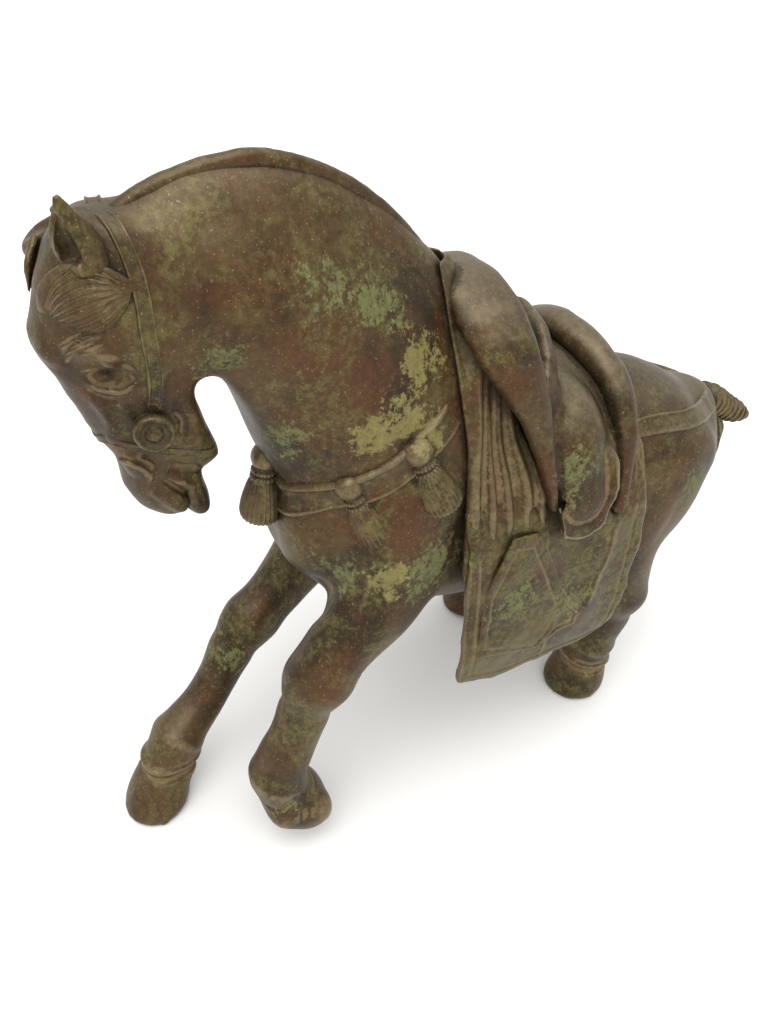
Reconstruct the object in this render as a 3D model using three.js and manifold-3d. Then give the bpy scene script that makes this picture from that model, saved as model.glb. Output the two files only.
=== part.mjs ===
// A hollow-cast bronze horse in parade harness, about 300 mm high: one fore hoof raised, head tucked in.
// Lengths are in millimetres. The horse faces -Y, its left side is +X, and +Z is up.
// It is built as a sectional casting: a hollow trunk and neck, a hollow head, four solid legs on tenons,
// and the saddle, cloths, straps and tassels as separate pieces laid on the trunk.
import * as THREE from "three";
import { mergeVertices } from "three/addons/utils/BufferGeometryUtils.js";
import Module from "manifold-3d";

const wasm = await Module();
wasm.setup();

// Driving dimensions
const WALL = 5; // thickness of the cast shells
const GAP = 0.3; // clearance that every seam keeps
const LOOSE = 2 * GAP; // clearance where two rounded forms meet at a shallow angle
const SPIGOT = 3; // thickness of the sleeves inside a seam
const SPIGOT_REACH = 10; // how far a sleeve enters its neighbour
const STRAP = 2.6; // thickness of the harness straps
const CLOTH = 3.6; // thickness of the saddle cloths
const FOLDS = 3; // thickness of the gathered cloth under them
const TRUNK_HALF = 43; // half the width of the barrel
const FORE_X = 34; // how far the raised foreleg stands from the middle
const TENON_RADIUS = 7;
const SOLE_THICK = 5; // height of the straight wall at the foot of a hoof

const BRONZE = 0x5a4a33;
const bronze = (color, roughness = 0.55) =>
  new THREE.MeshStandardMaterial({ color, roughness, metalness: 0.8 });
const SKIN = bronze(BRONZE);
const HARNESS = bronze(0x6b5a3e, 0.6);
const SADDLE = bronze(0x4d4034, 0.5);
const TEXTILE = bronze(0x5f5c34, 0.65);

const horse = new THREE.Group();

// Solids: a closed three.js geometry becomes a manifold, and a manifold becomes a named mesh.
function solid(geometry) {
  geometry.deleteAttribute("normal");
  geometry.deleteAttribute("uv");
  const merged = mergeVertices(geometry, 1e-4);
  return new wasm.Manifold(
    new wasm.Mesh({
      numProp: 3,
      vertProperties: new Float32Array(merged.getAttribute("position").array),
      triVerts: new Uint32Array(merged.index.array),
    }),
  );
}

function add(name, body, material) {
  const cut = body.getMesh();
  const geometry = new THREE.BufferGeometry();
  geometry.setAttribute("position", new THREE.BufferAttribute(cut.vertProperties, 3));
  geometry.setIndex(new THREE.BufferAttribute(cut.triVerts, 1));
  geometry.computeVertexNormals();
  const mesh = new THREE.Mesh(geometry, material);
  mesh.name = name;
  horse.add(mesh);
}

// A station is a section of a loft: its centre, half its width along X, half its depth, and its crown,
// which narrows the section towards its front or top.
const station = (x, y, z, wide, deep, crown = 0) => ({ at: new THREE.Vector3(x, y, z), wide, deep, crown });
const mirrored = (stations) =>
  stations.map((s) => station(-s.at.x, s.at.y, s.at.z, s.wide, s.deep, s.crown));

const ACROSS = new THREE.Vector3(1, 0, 0);
const LENGTHWAYS = new THREE.Vector3(0, 1, 0);

// A closed cylinder bent along the stations' centres. grow makes it larger all round.
// For hanging cloth, skirt above 2 squares the lower half of each section, drop deepens it and flare
// widens its foot. across is the direction of each section's width.
function loft(stations, options = {}) {
  const { sides = 24, steps = 4 * stations.length, grow = 0, across = ACROSS } = options;
  const { skirt = 2, drop = 1, flare = 0 } = options;
  const spine = new THREE.CatmullRomCurve3(stations.map((s) => s.at));
  const girth = new THREE.CatmullRomCurve3(
    stations.map((s) => new THREE.Vector3(s.wide, s.deep, 20 * s.crown)),
  );
  const geometry = new THREE.CylinderGeometry(1, 1, 1, sides, steps);
  const position = geometry.getAttribute("position");
  for (let i = 0; i < position.count; i += 1) {
    const t = THREE.MathUtils.clamp(0.5 - position.getY(i), 0, 1);
    const centre = spine.getPoint(t);
    const along = spine.getTangent(t);
    const side = across.clone().addScaledVector(along, -across.dot(along)).normalize();
    const up = along.clone().cross(side);
    const size = girth.getPoint(t);
    const power = position.getZ(i) < 0 ? 2 / skirt : 1;
    const u = Math.sign(position.getX(i)) * Math.abs(position.getX(i)) ** power;
    const v = Math.sign(position.getZ(i)) * Math.abs(position.getZ(i)) ** power;
    const narrow = 1 - (size.z / 20) * Math.max(0, v) + flare * Math.max(0, -v);
    const deep = v < 0 ? size.y * drop : size.y;
    centre.addScaledVector(side, u * (size.x + grow) * narrow);
    centre.addScaledVector(up, v * (deep + grow));
    if (t < 1e-6) centre.addScaledVector(along, -grow);
    if (t > 1 - 1e-6) centre.addScaledVector(along, grow);
    position.setXYZ(i, centre.x, centre.y, centre.z);
  }
  return solid(geometry);
}

// A flat outline seen from the side, as [y, z] points, run through from one X to another.
const SIDE_VIEW = new THREE.Matrix4().makeBasis(
  new THREE.Vector3(0, 1, 0),
  new THREE.Vector3(0, 0, 1),
  new THREE.Vector3(1, 0, 0),
);
function prism(points, from, to) {
  const ring = points.map(([y, z]) => new THREE.Vector2(y, z));
  if (THREE.ShapeUtils.isClockWise(ring)) ring.reverse();
  const through = { depth: to - from, bevelEnabled: false };
  const geometry = new THREE.ExtrudeGeometry(new THREE.Shape(ring), through);
  return solid(geometry.applyMatrix4(SIDE_VIEW).translate(from, 0, 0));
}

// The outline of a strip that follows a smooth path in the side view.
function strip(path, halfWidth, pieces = 8) {
  const curve = new THREE.SplineCurve(path.map(([y, z]) => new THREE.Vector2(y, z)));
  const edge = (sign) =>
    Array.from({ length: pieces + 1 }, (_, i) => {
      const p = curve.getPoint(i / pieces);
      const d = curve.getTangent(i / pieces);
      return [p.x - d.y * halfWidth * sign, p.y + d.x * halfWidth * sign];
    });
  return [...edge(1), ...edge(-1).reverse()];
}

// A closed smooth outline through a few points of the side view.
function smooth(points, pieces = 32) {
  const curve = new THREE.CatmullRomCurve3(
    points.map(([y, z]) => new THREE.Vector3(y, z, 0)),
    true,
  );
  return curve.getPoints(pieces).slice(0, -1).map((p) => [p.x, p.y]);
}

// A round rod between two points. grow makes it wider and longer all round.
function rod(from, to, radius, { sides = 16, grow = 0 } = {}) {
  const a = new THREE.Vector3(...from);
  const b = new THREE.Vector3(...to);
  const long = a.distanceTo(b) + 2 * grow;
  const geometry = new THREE.CylinderGeometry(radius + grow, radius + grow, long, sides);
  const turn = new THREE.Quaternion().setFromUnitVectors(
    new THREE.Vector3(0, 1, 0),
    b.clone().sub(a).normalize(),
  );
  const middle = a.clone().lerp(b, 0.5);
  geometry.applyQuaternion(turn).translate(middle.x, middle.y, middle.z);
  return solid(geometry);
}

// The form of the horse, from which every shell, strap and cloth takes its surface.
const TRUNK = [
  station(0, 152, 141, 7, 9),
  station(0, 147, 142, 20, 22),
  station(0, 133, 138, 33, 31),
  station(0, 108, 137, 40, 43),
  station(0, 75, 140, TRUNK_HALF, 47),
  station(0, 38, 142, TRUNK_HALF, 48),
  station(0, 2, 145, TRUNK_HALF - 1, 47),
  station(0, -25, 152, TRUNK_HALF - 4, 44),
  station(0, -46, 161, 32, 36),
  station(0, -60, 168, 23, 26),
  station(0, -68, 171, 11, 14),
];
const NECK = [
  station(0, 4, 171, 37, 43, 0.3),
  station(0, -16.5, 190, 38, 46, 0.45),
  station(0, -31.5, 210, 35, 48.5, 0.55),
  station(0, -46, 234, 31, 43.5, 0.6),
  station(0, -67, 254.5, 28, 39, 0.6),
  station(0, -87, 260.5, 25, 35, 0.55),
  station(0, -101, 261, 23, 30, 0.45),
  station(0, -112, 262, 20, 25, 0.35),
  station(0, -120, 263, 14, 18, 0.3),
];
const HAUNCH = [
  station(19, 129, 150, 15, 15),
  station(22, 115, 144, 20, 27),
  station(25, 97, 128, 20, 35),
  station(29, 88, 112, 16, 27),
  station(32, 84, 100, 12, 17),
];
const SHOULDER = [
  station(20, -18, 190, 15, 20),
  station(24, -26, 165, 20, 29),
  station(27, -30, 142, 18, 28),
  station(31, -36, 126, 12, 17),
];
const forms = new Map();
function form(grow) {
  if (!forms.has(grow)) {
    const parts = [
      loft(TRUNK, { sides: 20, steps: 17, grow }),
      loft(NECK, { sides: 18, steps: 14, grow }),
      loft(HAUNCH, { sides: 12, steps: 6, grow }),
      loft(mirrored(HAUNCH), { sides: 12, steps: 6, grow }),
      loft(SHOULDER, { sides: 12, steps: 5, grow }),
      loft(mirrored(SHOULDER), { sides: 12, steps: 5, grow }),
    ];
    forms.set(grow, parts.reduce((whole, part) => whole.add(part)));
  }
  return forms.get(grow);
}
// A layer of the form, seen from the side through an outline.
const layer = (inner, outer, outline, from = -90, to = 90) =>
  form(outer).subtract(form(inner)).intersect(prism(outline, from, to));

// Head
const HEAD = [
  station(0, -112, 285, 12, 10),
  station(0, -114, 274, 18.5, 19, 0.1),
  station(0, -113, 256, 21.5, 26.5, 0.2),
  station(0, -111, 240, 20.5, 24.5, 0.3),
  station(0, -108, 222, 17.5, 22, 0.35),
  station(0, -107, 207, 14, 19.5, 0.3),
  station(0, -110.5, 197, 12, 12.5, 0.15),
  station(0, -109, 188, 11.5, 11, 0.1),
  station(0, -103.5, 181, 9, 6.5, 0.1),
  station(0, -99.5, 178, 4, 3, 0.1),
];
const JOWL = [
  station(0, -99, 238, 15, 11),
  station(0, -97, 224, 18.5, 15),
  station(0, -94.5, 209, 17, 13.5),
  station(0, -94, 199, 12, 10),
  station(0, -94, 194.5, 5, 6),
];
const headForm = (grow) =>
  loft(HEAD, { sides: 16, steps: 14, grow }).add(loft(JOWL, { sides: 12, steps: 6, grow }));

// Seam planes: below the first lies the trunk, and above it the neck.
const NECK_SEAM = [
  [30, 237],
  [-2, 216],
  [-28, 200],
  [-53, 186],
  [-90, 170],
  [-140, 160],
];
const above = (points, lift) => {
  const line = points.map(([y, z]) => [y, z + lift]);
  return prism([...line, [line.at(-1)[0], 330], [line[0][0], 330]], -90, 90);
};
const below = (points, drop) => {
  const line = points.map(([y, z]) => [y, z - drop]);
  return prism([[170, line[0][1]], ...line, [line.at(-1)[0], 60], [170, 60]], -90, 90);
};

// Legs
const LEGS = {
  left_foreleg: {
    stations: [
      station(FORE_X - 4, -30, 140, 15, 20),
      station(FORE_X - 1, -42, 127, 15, 18.5),
      station(FORE_X, -56, 116, 14, 15.5),
      station(FORE_X + 1, -66, 104, 13.5, 14),
      station(FORE_X, -73, 86, 11, 11.5),
      station(FORE_X, -80, 66, 10.5, 10.5),
      station(FORE_X, -87, 50, 12, 11.5),
      station(FORE_X, -88, 38, 12, 11),
      station(FORE_X, -82, 27, 11, 10),
    ],
    hoof: [
      station(FORE_X, -88, 35, 11, 10),
      station(FORE_X, -83, 26, 15, 14),
      station(FORE_X, -76, 19, 16.5, 13),
      station(FORE_X, -69, 16, 13.5, 9),
    ],
    tenon: [[FORE_X - 1, -42, 127], [FORE_X - 10, -22, 148]],
  },
  right_foreleg: {
    stations: [
      station(-29, -34, 122, 15, 20),
      station(-28, -48, 102, 13, 15),
      station(-26, -65, 86, 11.5, 12),
      station(-23.5, -81, 73, 11.5, 12),
      station(-19.5, -93, 57, 9.5, 9.5),
      station(-16, -105, 44, 9.5, 9.5),
      station(-12.5, -118, 34, 11.5, 11.5),
      station(-10, -126, 24, 10.5, 10.5),
      station(-9, -129, 18, 11, 11.5),
    ],
    sole: [-6, -135],
    soleRadius: 15,
    tenon: [[-28, -50, 100], [-22, -28, 128]],
  },
  left_hindleg: {
    stations: [
      station(32, 86, 112, 14, 22),
      station(34, 89, 92, 12.5, 17),
      station(34, 92, 72, 11.5, 13.5),
      station(32, 92, 54, 10, 11),
      station(29, 90, 38, 10.5, 11),
      station(27, 89, 27, 12, 12.5),
      station(26, 88, 19, 12, 12.5),
    ],
    sole: [25, 87],
    soleRadius: 16,
    tenon: [[34, 90, 82], [27, 92, 120]],
  },
  right_hindleg: {
    stations: [
      station(-32, 86, 112, 14, 22),
      station(-35, 91, 92, 12.5, 17),
      station(-39, 94, 72, 11.5, 13.5),
      station(-43, 88, 54, 10, 11),
      station(-46, 80, 38, 10.5, 11),
      station(-48, 74, 27, 12, 12.5),
      station(-49, 71, 19, 12, 12.5),
    ],
    sole: [-50, 68],
    soleRadius: 16,
    tenon: [[-36, 92, 84], [-27, 92, 120]],
  },
};

// A standing hoof: a straight foot under a cone that runs up to the last station of the leg.
function hoof(leg) {
  const top = leg.stations.at(-1);
  const [x, y] = leg.sole;
  const profile = [
    new THREE.Vector2(0, 0),
    new THREE.Vector2(leg.soleRadius, 0),
    new THREE.Vector2(leg.soleRadius, SOLE_THICK),
    new THREE.Vector2(top.wide + 1, top.at.z),
    new THREE.Vector2(0, top.at.z),
  ];
  const geometry = new THREE.LatheGeometry(profile, 20);
  geometry.rotateX(Math.PI / 2);
  const leanX = (top.at.x - x) / top.at.z;
  const leanY = (top.at.y - y) / top.at.z;
  const lean = new THREE.Matrix4().makeShear(0, 0, 0, 0, leanX, leanY);
  geometry.applyMatrix4(lean).translate(x, y, 0);
  return solid(geometry);
}

const openings = [];
for (const [name, leg] of Object.entries(LEGS)) {
  const limb = loft(leg.stations, { sides: 14, steps: 16 });
  const foot = leg.hoof ? loft(leg.hoof, { sides: 14, steps: 7 }) : hoof(leg);
  const [root, tip] = leg.tenon;
  const tenon = rod(root, tip, TENON_RADIUS);
  openings.push(rod(root, tip, TENON_RADIUS, { grow: GAP }));
  add(name, limb.add(foot).subtract(form(LOOSE)).add(tenon), SKIN);
}

// The core is the hollow of the casting: the trunk and the neck alone, left rough.
const core = (depth) =>
  loft(TRUNK, { sides: 14, steps: 10, grow: -depth }).add(loft(NECK, { sides: 14, steps: 9, grow: -depth }));

// Trunk: a hollow shell with its mouth at the neck seam, a socket at each leg, and a core hole in the belly.
const PLUG = { at: [0, 40], radius: 7, bottom: 92, top: 99 };
{
  let shell = form(0).subtract(core(WALL)).intersect(below(NECK_SEAM, GAP / 2));
  for (const opening of openings) shell = shell.subtract(opening);
  const { at, bottom, top, radius } = PLUG;
  const plug = (grow) => rod([...at, bottom], [...at, top], radius, { sides: 20, grow });
  add("trunk_shell", shell.subtract(plug(GAP)), SKIN);
  add("belly_plug", plug(0), SKIN);
}

// Neck: a hollow shell with a sleeve that enters the trunk, cut away where the head begins.
{
  const wall = form(0).subtract(core(WALL)).intersect(above(NECK_SEAM, GAP / 2));
  const lining = core(WALL + GAP + SPIGOT);
  const reach = above(NECK_SEAM, -SPIGOT_REACH).intersect(below(NECK_SEAM, -WALL));
  const sleeve = core(WALL + GAP).subtract(lining).intersect(reach);
  const step = core(WALL - 1).subtract(lining);
  const shoulder = step.intersect(above(NECK_SEAM, GAP / 2)).intersect(below(NECK_SEAM, -WALL));
  add("neck_shell", wall.add(sleeve).add(shoulder).subtract(headForm(GAP)), SKIN);
}

// Head: hollow behind, with the brow, jaw and muzzle in one casting.
{
  const mouth = prism([[-92, 200], [-99, 193], [-103.5, 190], [-99, 189.5], [-88, 192]], -30, 30);
  const hollow = loft(NECK, { sides: 12, steps: 9, grow: -11 });
  add("head_shell", headForm(0).subtract(mouth).subtract(hollow), SKIN);
  const chin = [
    station(0, -98, 199, 8, 5),
    station(0, -99, 191, 8.5, 5),
    station(0, -97.5, 182, 8, 5),
    station(0, -95, 175, 5.5, 3),
  ];
  add("lower_lip", loft(chin, { sides: 14, steps: 10 }).subtract(headForm(GAP)), SKIN);
}

// Ears: the left is a tall leaf with a hollow front, and the right is short and lies out to the side.
const EARS = {
  left_ear: {
    leaf: [
      station(13, -122, 276, 6, 6),
      station(14, -124, 283, 6.5, 6),
      station(15, -126, 289, 4.5, 4.5),
      station(15.5, -127.5, 295, 1.2, 1.2),
    ],
    cup: [4, -4.5, 3],
  },
  right_ear: {
    leaf: [
      station(-10, -121, 277, 6, 6),
      station(-14, -125, 274, 6, 5.5),
      station(-19, -129, 270, 5.5, 5),
      station(-24, -131.5, 266.5, 2, 2),
    ],
    cup: [-2, -5, 4],
  },
};
const leafForm = (leaf, grow) => loft(leaf, { sides: 12, steps: 7, grow });
for (const [name, { leaf, cup }] of Object.entries(EARS)) {
  const [x, y, z] = cup;
  const hollowed = leaf.map((p) => station(p.at.x + x, p.at.y + y, p.at.z + z, p.wide * 0.6, p.deep * 0.7));
  const ear = leafForm(leaf, 0).subtract(loft(hollowed, { sides: 8, steps: 5 }));
  add(name, ear.subtract(headForm(GAP)).subtract(form(GAP)), SKIN);
}

// Forelock: two wings that part on the brow.
const WING = [
  station(2, -132.5, 259.5, 2.5, 3),
  station(8, -131, 262, 3.5, 7),
  station(13.5, -126.5, 264, 4.5, 9),
  station(17, -120, 266, 4.5, 7.5),
  station(19, -112.5, 268.5, 1.5, 1.5),
];
const wing = (stations, grow) => loft(stations, { sides: 12, steps: 8, grow });
const WINGS = [["forelock_left", WING], ["forelock_right", mirrored(WING)]];
const ears = leafForm(EARS.left_ear.leaf, GAP).add(leafForm(EARS.right_ear.leaf, GAP));
for (const [name, stations] of WINGS)
  add(name, wing(stations, 0).subtract(headForm(GAP)).subtract(ears), SKIN);

// Mane: a clipped roach that follows the crest from the poll to the saddle.
const MANE_HALF = 5;
const MANE_DEEP = 4.5;
const CREST = [
  [-115, 283.5],
  [-103, 289.5],
  [-86, 294],
  [-68, 294.5],
  [-49, 288],
  [-32, 277],
  [-17, 263],
  [-6, 248],
];
const ROACH = CREST.map(([y, z]) => station(0, y, z, MANE_HALF, MANE_DEEP, 0.3));
const roach = (grow) => loft(ROACH, { sides: 10, steps: 16, grow });
add("mane_roach", roach(0).subtract(form(GAP)).subtract(headForm(GAP)), SKIN);

// Tail: a bound dock that stands out like a horn, and the hair below it.
{
  const dock = [
    station(0, 144, 148, 7, 7),
    station(0, 156, 147, 8.5, 8),
    station(2, 167, 141, 7, 6.5),
    station(5, 176, 136.5, 5, 5),
    station(7, 182, 134, 2, 2),
  ];
  const tuft = [
    station(1, 157, 141, 5, 5),
    station(2, 160, 131, 8, 8),
    station(3, 159, 118, 8, 8),
    station(4, 156, 106, 5, 5),
    station(4, 154, 99, 1.5, 1.5),
  ];
  const bound = loft(dock, { sides: 12, steps: 9 }).subtract(form(GAP));
  add("tail_dock", bound, SKIN);
  const hair = loft(tuft, { sides: 12, steps: 8 }).subtract(loft(dock, { sides: 12, steps: 9, grow: GAP }));
  add("tail_tuft", hair.subtract(form(GAP)), SKIN);
}

// Saddle bows: thick arched rolls that stand before and behind the seat.
const arch = (half, top) => [
  ...half,
  top,
  ...half.toReversed().map((s) => station(-s.at.x, s.at.y, s.at.z, s.wide, s.deep)),
];
const POMMEL = arch(
  [
    station(51, 25, 163, 3, 3.5),
    station(48, 20, 184, 4.5, 4.5),
    station(41, 15, 206, 6.5, 5.5),
    station(31, 9, 224, 9, 6),
    station(17, 6, 237, 10, 6),
  ],
  station(0, 5, 241, 10, 6),
);
const CANTLE = arch(
  [
    station(51, 59, 150, 3, 3.5),
    station(47, 61, 168, 4, 4.5),
    station(39, 63, 186, 5.5, 5.5),
    station(27, 64, 198, 7, 6),
    station(13, 62, 205, 7.5, 6),
  ],
  station(0, 61, 207, 7.5, 6),
);
const bow = (path, grow) => loft(path, { sides: 10, steps: 16, grow, across: LENGTHWAYS });
add("saddle_pommel", bow(POMMEL, 0).subtract(form(LOOSE)), SADDLE);
add("saddle_cantle", bow(CANTLE, 0).subtract(form(GAP)), SADDLE);
const bows = bow(POMMEL, GAP).add(bow(CANTLE, GAP));

// Cloths: bell-shaped layers that lie on the back and hang clear of the barrel.
const BACK = [
  station(0, 96, 150, 41, 42),
  station(0, 74, 150, 43.5, 43),
  station(0, 38, 150, 44.5, 44),
  station(0, 6, 152, 44.5, 47),
  station(0, -16, 157, 44, 52),
  station(0, -30, 160, 42, 56),
];
const HANG = { sides: 24, steps: 8, skirt: 5, drop: 1.9, flare: 0.12 };
const bell = (grow) => loft(BACK, { ...HANG, grow });
const SIDES = [["left", GAP / 2, 90], ["right", -90, -GAP / 2]];
const BLANKET = [
  [-9, 254],
  [-9, 208],
  [-10, 176],
  [-11, 138],
  [20, 132],
  [60, 128],
  [70, 113],
  [76, 130],
  [77, 160],
  [72, 182],
  [66, 202],
  [40, 216],
  [22, 238],
  [16, 254],
];
const CLOTH_OUTLINE = [
  [-12, 172],
  [-12, 83],
  [6, 75],
  [40, 74],
  [63, 69],
  [71, 75],
  [75, 103],
  [77, 132],
  [75, 172],
];
const PANEL = [
  [-6, 99],
  [-5, 133],
  [6, 158],
  [19, 156],
  [29, 132],
  [39, 109],
  [34, 98],
  [27, 88],
];
const FLAP = [
  [20, 180],
  [20, 166],
  [26, 153],
  [37, 149],
  [47, 153],
  [53, 166],
  [54, 180],
];
const clothFoot = FOLDS + GAP;
const panelFoot = clothFoot + CLOTH + GAP;
const PANEL_THICK = 2.2;
const flapFoot = panelFoot + PANEL_THICK + GAP;
const FLAP_THICK = 3;
for (const [side, from, to] of SIDES) {
  const cut = (inner, outer, outline) =>
    bell(outer).subtract(bell(inner)).subtract(bows).intersect(prism(outline, from, to));
  const blanket = form(FOLDS).add(bell(FOLDS)).intersect(prism(BLANKET, from, to));
  add(`blanket_${side}`, blanket.subtract(form(GAP)).subtract(bows).subtract(roach(GAP)), TEXTILE);
  const cloth = cut(clothFoot, clothFoot + CLOTH, CLOTH_OUTLINE);
  add(`saddle_cloth_${side}`, cloth.subtract(form(FOLDS + GAP)), TEXTILE);
  add(`front_panel_${side}`, cut(panelFoot, panelFoot + PANEL_THICK, PANEL), TEXTILE);
  add(`saddle_flap_${side}`, cut(flapFoot, flapFoot + FLAP_THICK, FLAP), SADDLE);
}

// Seat: the grey hollow between the bows.
{
  const SEAT = [
    station(0, 68, 174, 37, 30),
    station(0, 54, 174, 39, 30),
    station(0, 36, 175, 42, 34),
    station(0, 20, 178, 43, 42),
    station(0, 8, 186, 43, 50),
  ];
  const SEAT_FOOT = 180 + GAP;
  const body = loft(SEAT, { sides: 20, steps: 10 });
  const ground = form(FOLDS + GAP).add(bell(clothFoot + CLOTH + GAP));
  const above = prism([[2, SEAT_FOOT], [72, SEAT_FOOT], [72, 260], [2, 260]], -90, 90);
  add("saddle_seat", body.subtract(ground).subtract(bows).intersect(above), SADDLE);
}

// Straps: a breast strap round the chest and a crupper strap along each side of the rump.
const STRAP_TOP = GAP + STRAP;
const BREAST = [
  [-14, 211],
  [-28, 201],
  [-53, 187],
  [-66, 179],
  [-84, 172],
];
const CRUPPER = [
  [77.5, 186],
  [105, 171],
  [130, 158],
  [143, 153],
];
const BREAST_HALF = 6.5;
const CRUPPER_HALF = 5;
add("breast_strap", layer(GAP, STRAP_TOP, strip(BREAST, BREAST_HALF).filter(([y]) => y < 0)), HARNESS);
for (const [side, from, to] of SIDES)
  add(`crupper_strap_${side}`, layer(GAP, STRAP_TOP, strip(CRUPPER, CRUPPER_HALF), from, to), HARNESS);

// Tassels: a round knob, a collar and a flared fringe, each hanging from the breast strap.
const TASSEL = [
  [0, 5.5],
  [3, 5],
  [5, 2.5],
  [5.2, 0],
  [4, -3],
  [3.6, -5],
  [5, -6],
  [5, -8],
  [6.5, -14],
  [7.5, -24],
  [5.5, -27],
  [0, -28],
];
const TASSELS = {
  tassel_centre: [[0, -75, 187], [0, -78, 161]],
  tassel_left_front: [[30, -54, 188], [34, -42, 160]],
  tassel_left_rear: [[38, -30, 201], [42, -18, 172]],
  tassel_right_front: [[-30, -54, 188], [-34, -42, 160]],
  tassel_right_rear: [[-38, -30, 201], [-42, -18, 172]],
};
for (const [name, [knob, tip]] of Object.entries(TASSELS)) {
  const profile = TASSEL.map(([radius, height]) => new THREE.Vector2(radius, height)).toReversed();
  const down = new THREE.Vector3(...knob).sub(new THREE.Vector3(...tip)).normalize();
  const turn = new THREE.Quaternion().setFromUnitVectors(new THREE.Vector3(0, 1, 0), down);
  const geometry = new THREE.LatheGeometry(profile, 14).applyQuaternion(turn).translate(...knob);
  add(name, solid(geometry).subtract(form(STRAP_TOP + GAP)), HARNESS);
}

// Bridle: a cheek strap on each side, a noseband, and a bit rosette over each corner of the mouth.
const CHEEK = [
  [-113, 286],
  [-110, 268],
  [-110, 246],
  [-113, 229],
];
const NOSE = [
  [-126, 211],
  [-113, 207],
  [-98, 206],
];
const ROSETTE = { at: [-113.5, 223], radius: 5.5, face: 20 };
const bridle = (outline, from = -90, to = 90) =>
  headForm(STRAP_TOP).subtract(headForm(GAP)).intersect(prism(outline, from, to));
const NOSE_HALF = 3;
add("noseband", bridle(strip(NOSE, NOSE_HALF)), HARNESS);
for (const [side, from, to] of SIDES) {
  const s = Math.sign(from + to);
  const [y, z] = ROSETTE.at;
  const disc = (grow) => rod([s * 8, y, z], [s * ROSETTE.face, y, z], ROSETTE.radius, { sides: 20, grow });
  add(`bit_rosette_${side}`, disc(0).subtract(headForm(GAP)), HARNESS);
  const hair = roach(GAP).add(wing(WING, GAP)).add(wing(mirrored(WING), GAP));
  const strap = bridle(strip(CHEEK, NOSE_HALF), from, to).subtract(disc(GAP)).subtract(form(GAP));
  add(`cheek_strap_${side}`, strap.subtract(hair), HARNESS);
}

// The origin is on the floor, under the middle of the horse.
const box = new THREE.Box3().setFromObject(horse);
const middle = box.getCenter(new THREE.Vector3());
horse.position.set(-middle.x, -middle.y, -box.min.z);

export default horse;
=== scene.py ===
# %% [markdown]
# # A bronze horse in parade harness
# The real horse is a sectional casting: a trunk, a neck, a head and four legs are poured in bronze, the
# saddle, cloths, straps and tassels are cast with them or brazed on, and the whole is then buried or
# pickled until it is green. A caster works from clay, so this lesson does too. Each group of plain
# castings is melted into one dense skin, softened, worked with strokes and thumb marks, and cut apart
# again on the founder's own seams. The last part of the lesson is the patina.

# %% Load the castings
import math

import bmesh
import bpy
import numpy as np
from mathutils import Matrix, Vector, noise
from mathutils.bvhtree import BVHTree


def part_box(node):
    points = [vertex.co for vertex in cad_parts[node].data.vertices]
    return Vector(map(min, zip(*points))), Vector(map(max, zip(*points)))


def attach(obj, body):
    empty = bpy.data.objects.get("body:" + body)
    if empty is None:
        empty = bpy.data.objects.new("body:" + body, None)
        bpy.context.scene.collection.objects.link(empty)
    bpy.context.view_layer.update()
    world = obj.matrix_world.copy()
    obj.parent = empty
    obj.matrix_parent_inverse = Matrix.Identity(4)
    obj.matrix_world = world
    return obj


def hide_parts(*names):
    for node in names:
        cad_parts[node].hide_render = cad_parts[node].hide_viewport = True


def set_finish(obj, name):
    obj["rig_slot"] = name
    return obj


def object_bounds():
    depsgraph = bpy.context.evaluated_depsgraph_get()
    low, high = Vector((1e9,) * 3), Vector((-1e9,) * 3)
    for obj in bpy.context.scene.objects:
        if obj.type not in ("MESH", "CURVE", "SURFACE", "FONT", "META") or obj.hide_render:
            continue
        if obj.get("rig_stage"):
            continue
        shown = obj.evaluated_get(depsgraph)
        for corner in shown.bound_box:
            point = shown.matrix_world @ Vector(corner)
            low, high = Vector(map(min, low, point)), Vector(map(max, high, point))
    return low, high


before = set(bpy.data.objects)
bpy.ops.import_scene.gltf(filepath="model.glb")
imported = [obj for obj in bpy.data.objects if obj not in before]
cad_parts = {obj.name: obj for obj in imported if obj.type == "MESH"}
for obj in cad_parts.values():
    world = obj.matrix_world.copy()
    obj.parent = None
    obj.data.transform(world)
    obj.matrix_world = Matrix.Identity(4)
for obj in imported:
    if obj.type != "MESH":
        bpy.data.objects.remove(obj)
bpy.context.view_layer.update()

# %% [markdown]
# ## The bench
# The horse stands on its bench facing -Y, with its left side to +X. Work is measured in millimetres from
# the middle of the floor under the shoulders. The plug in the belly was drilled 40 mm behind that point,
# so its box says where the bench lies in the finished frame.

# %% Bench measures
MM = 0.001
PLUG_BEHIND = 40
plug_low, plug_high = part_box("belly_plug")
BENCH = Vector(((plug_low.x + plug_high.x) / 2, (plug_low.y + plug_high.y) / 2 - PLUG_BEHIND * MM, 0))
BENCH_ARRAY = np.array(BENCH)


def at(x, y, z):
    """A point on the bench, in millimetres, as a place in the frame, in metres."""
    return BENCH + Vector((x, y, z)) * MM


print("bench at", [round(v, 4) for v in BENCH])

# %% [markdown]
# ## Camera, light and floor
# The camera looks down on the near side from in front of the shoulder, as a buyer does who leans over
# a table. A steep view like this shows the crest, the brow and the tops of the hooves at once.
# A broad soft sun and a soft box overhead keep the shadows pale. They light the plain floor evenly as
# far as it can be seen, so it stays nearly white.

# %% Camera, lights and floor
AZIMUTH, ELEVATION, ROLL = (math.radians(a) for a in (59.72, 40.75, 2.66))
SENSOR = 36.0
LENS = 31.64
CAMERA_PLACE = (243.45, -163.22, 384.68)
FLOOR_HALF = 60  # metres


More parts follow.
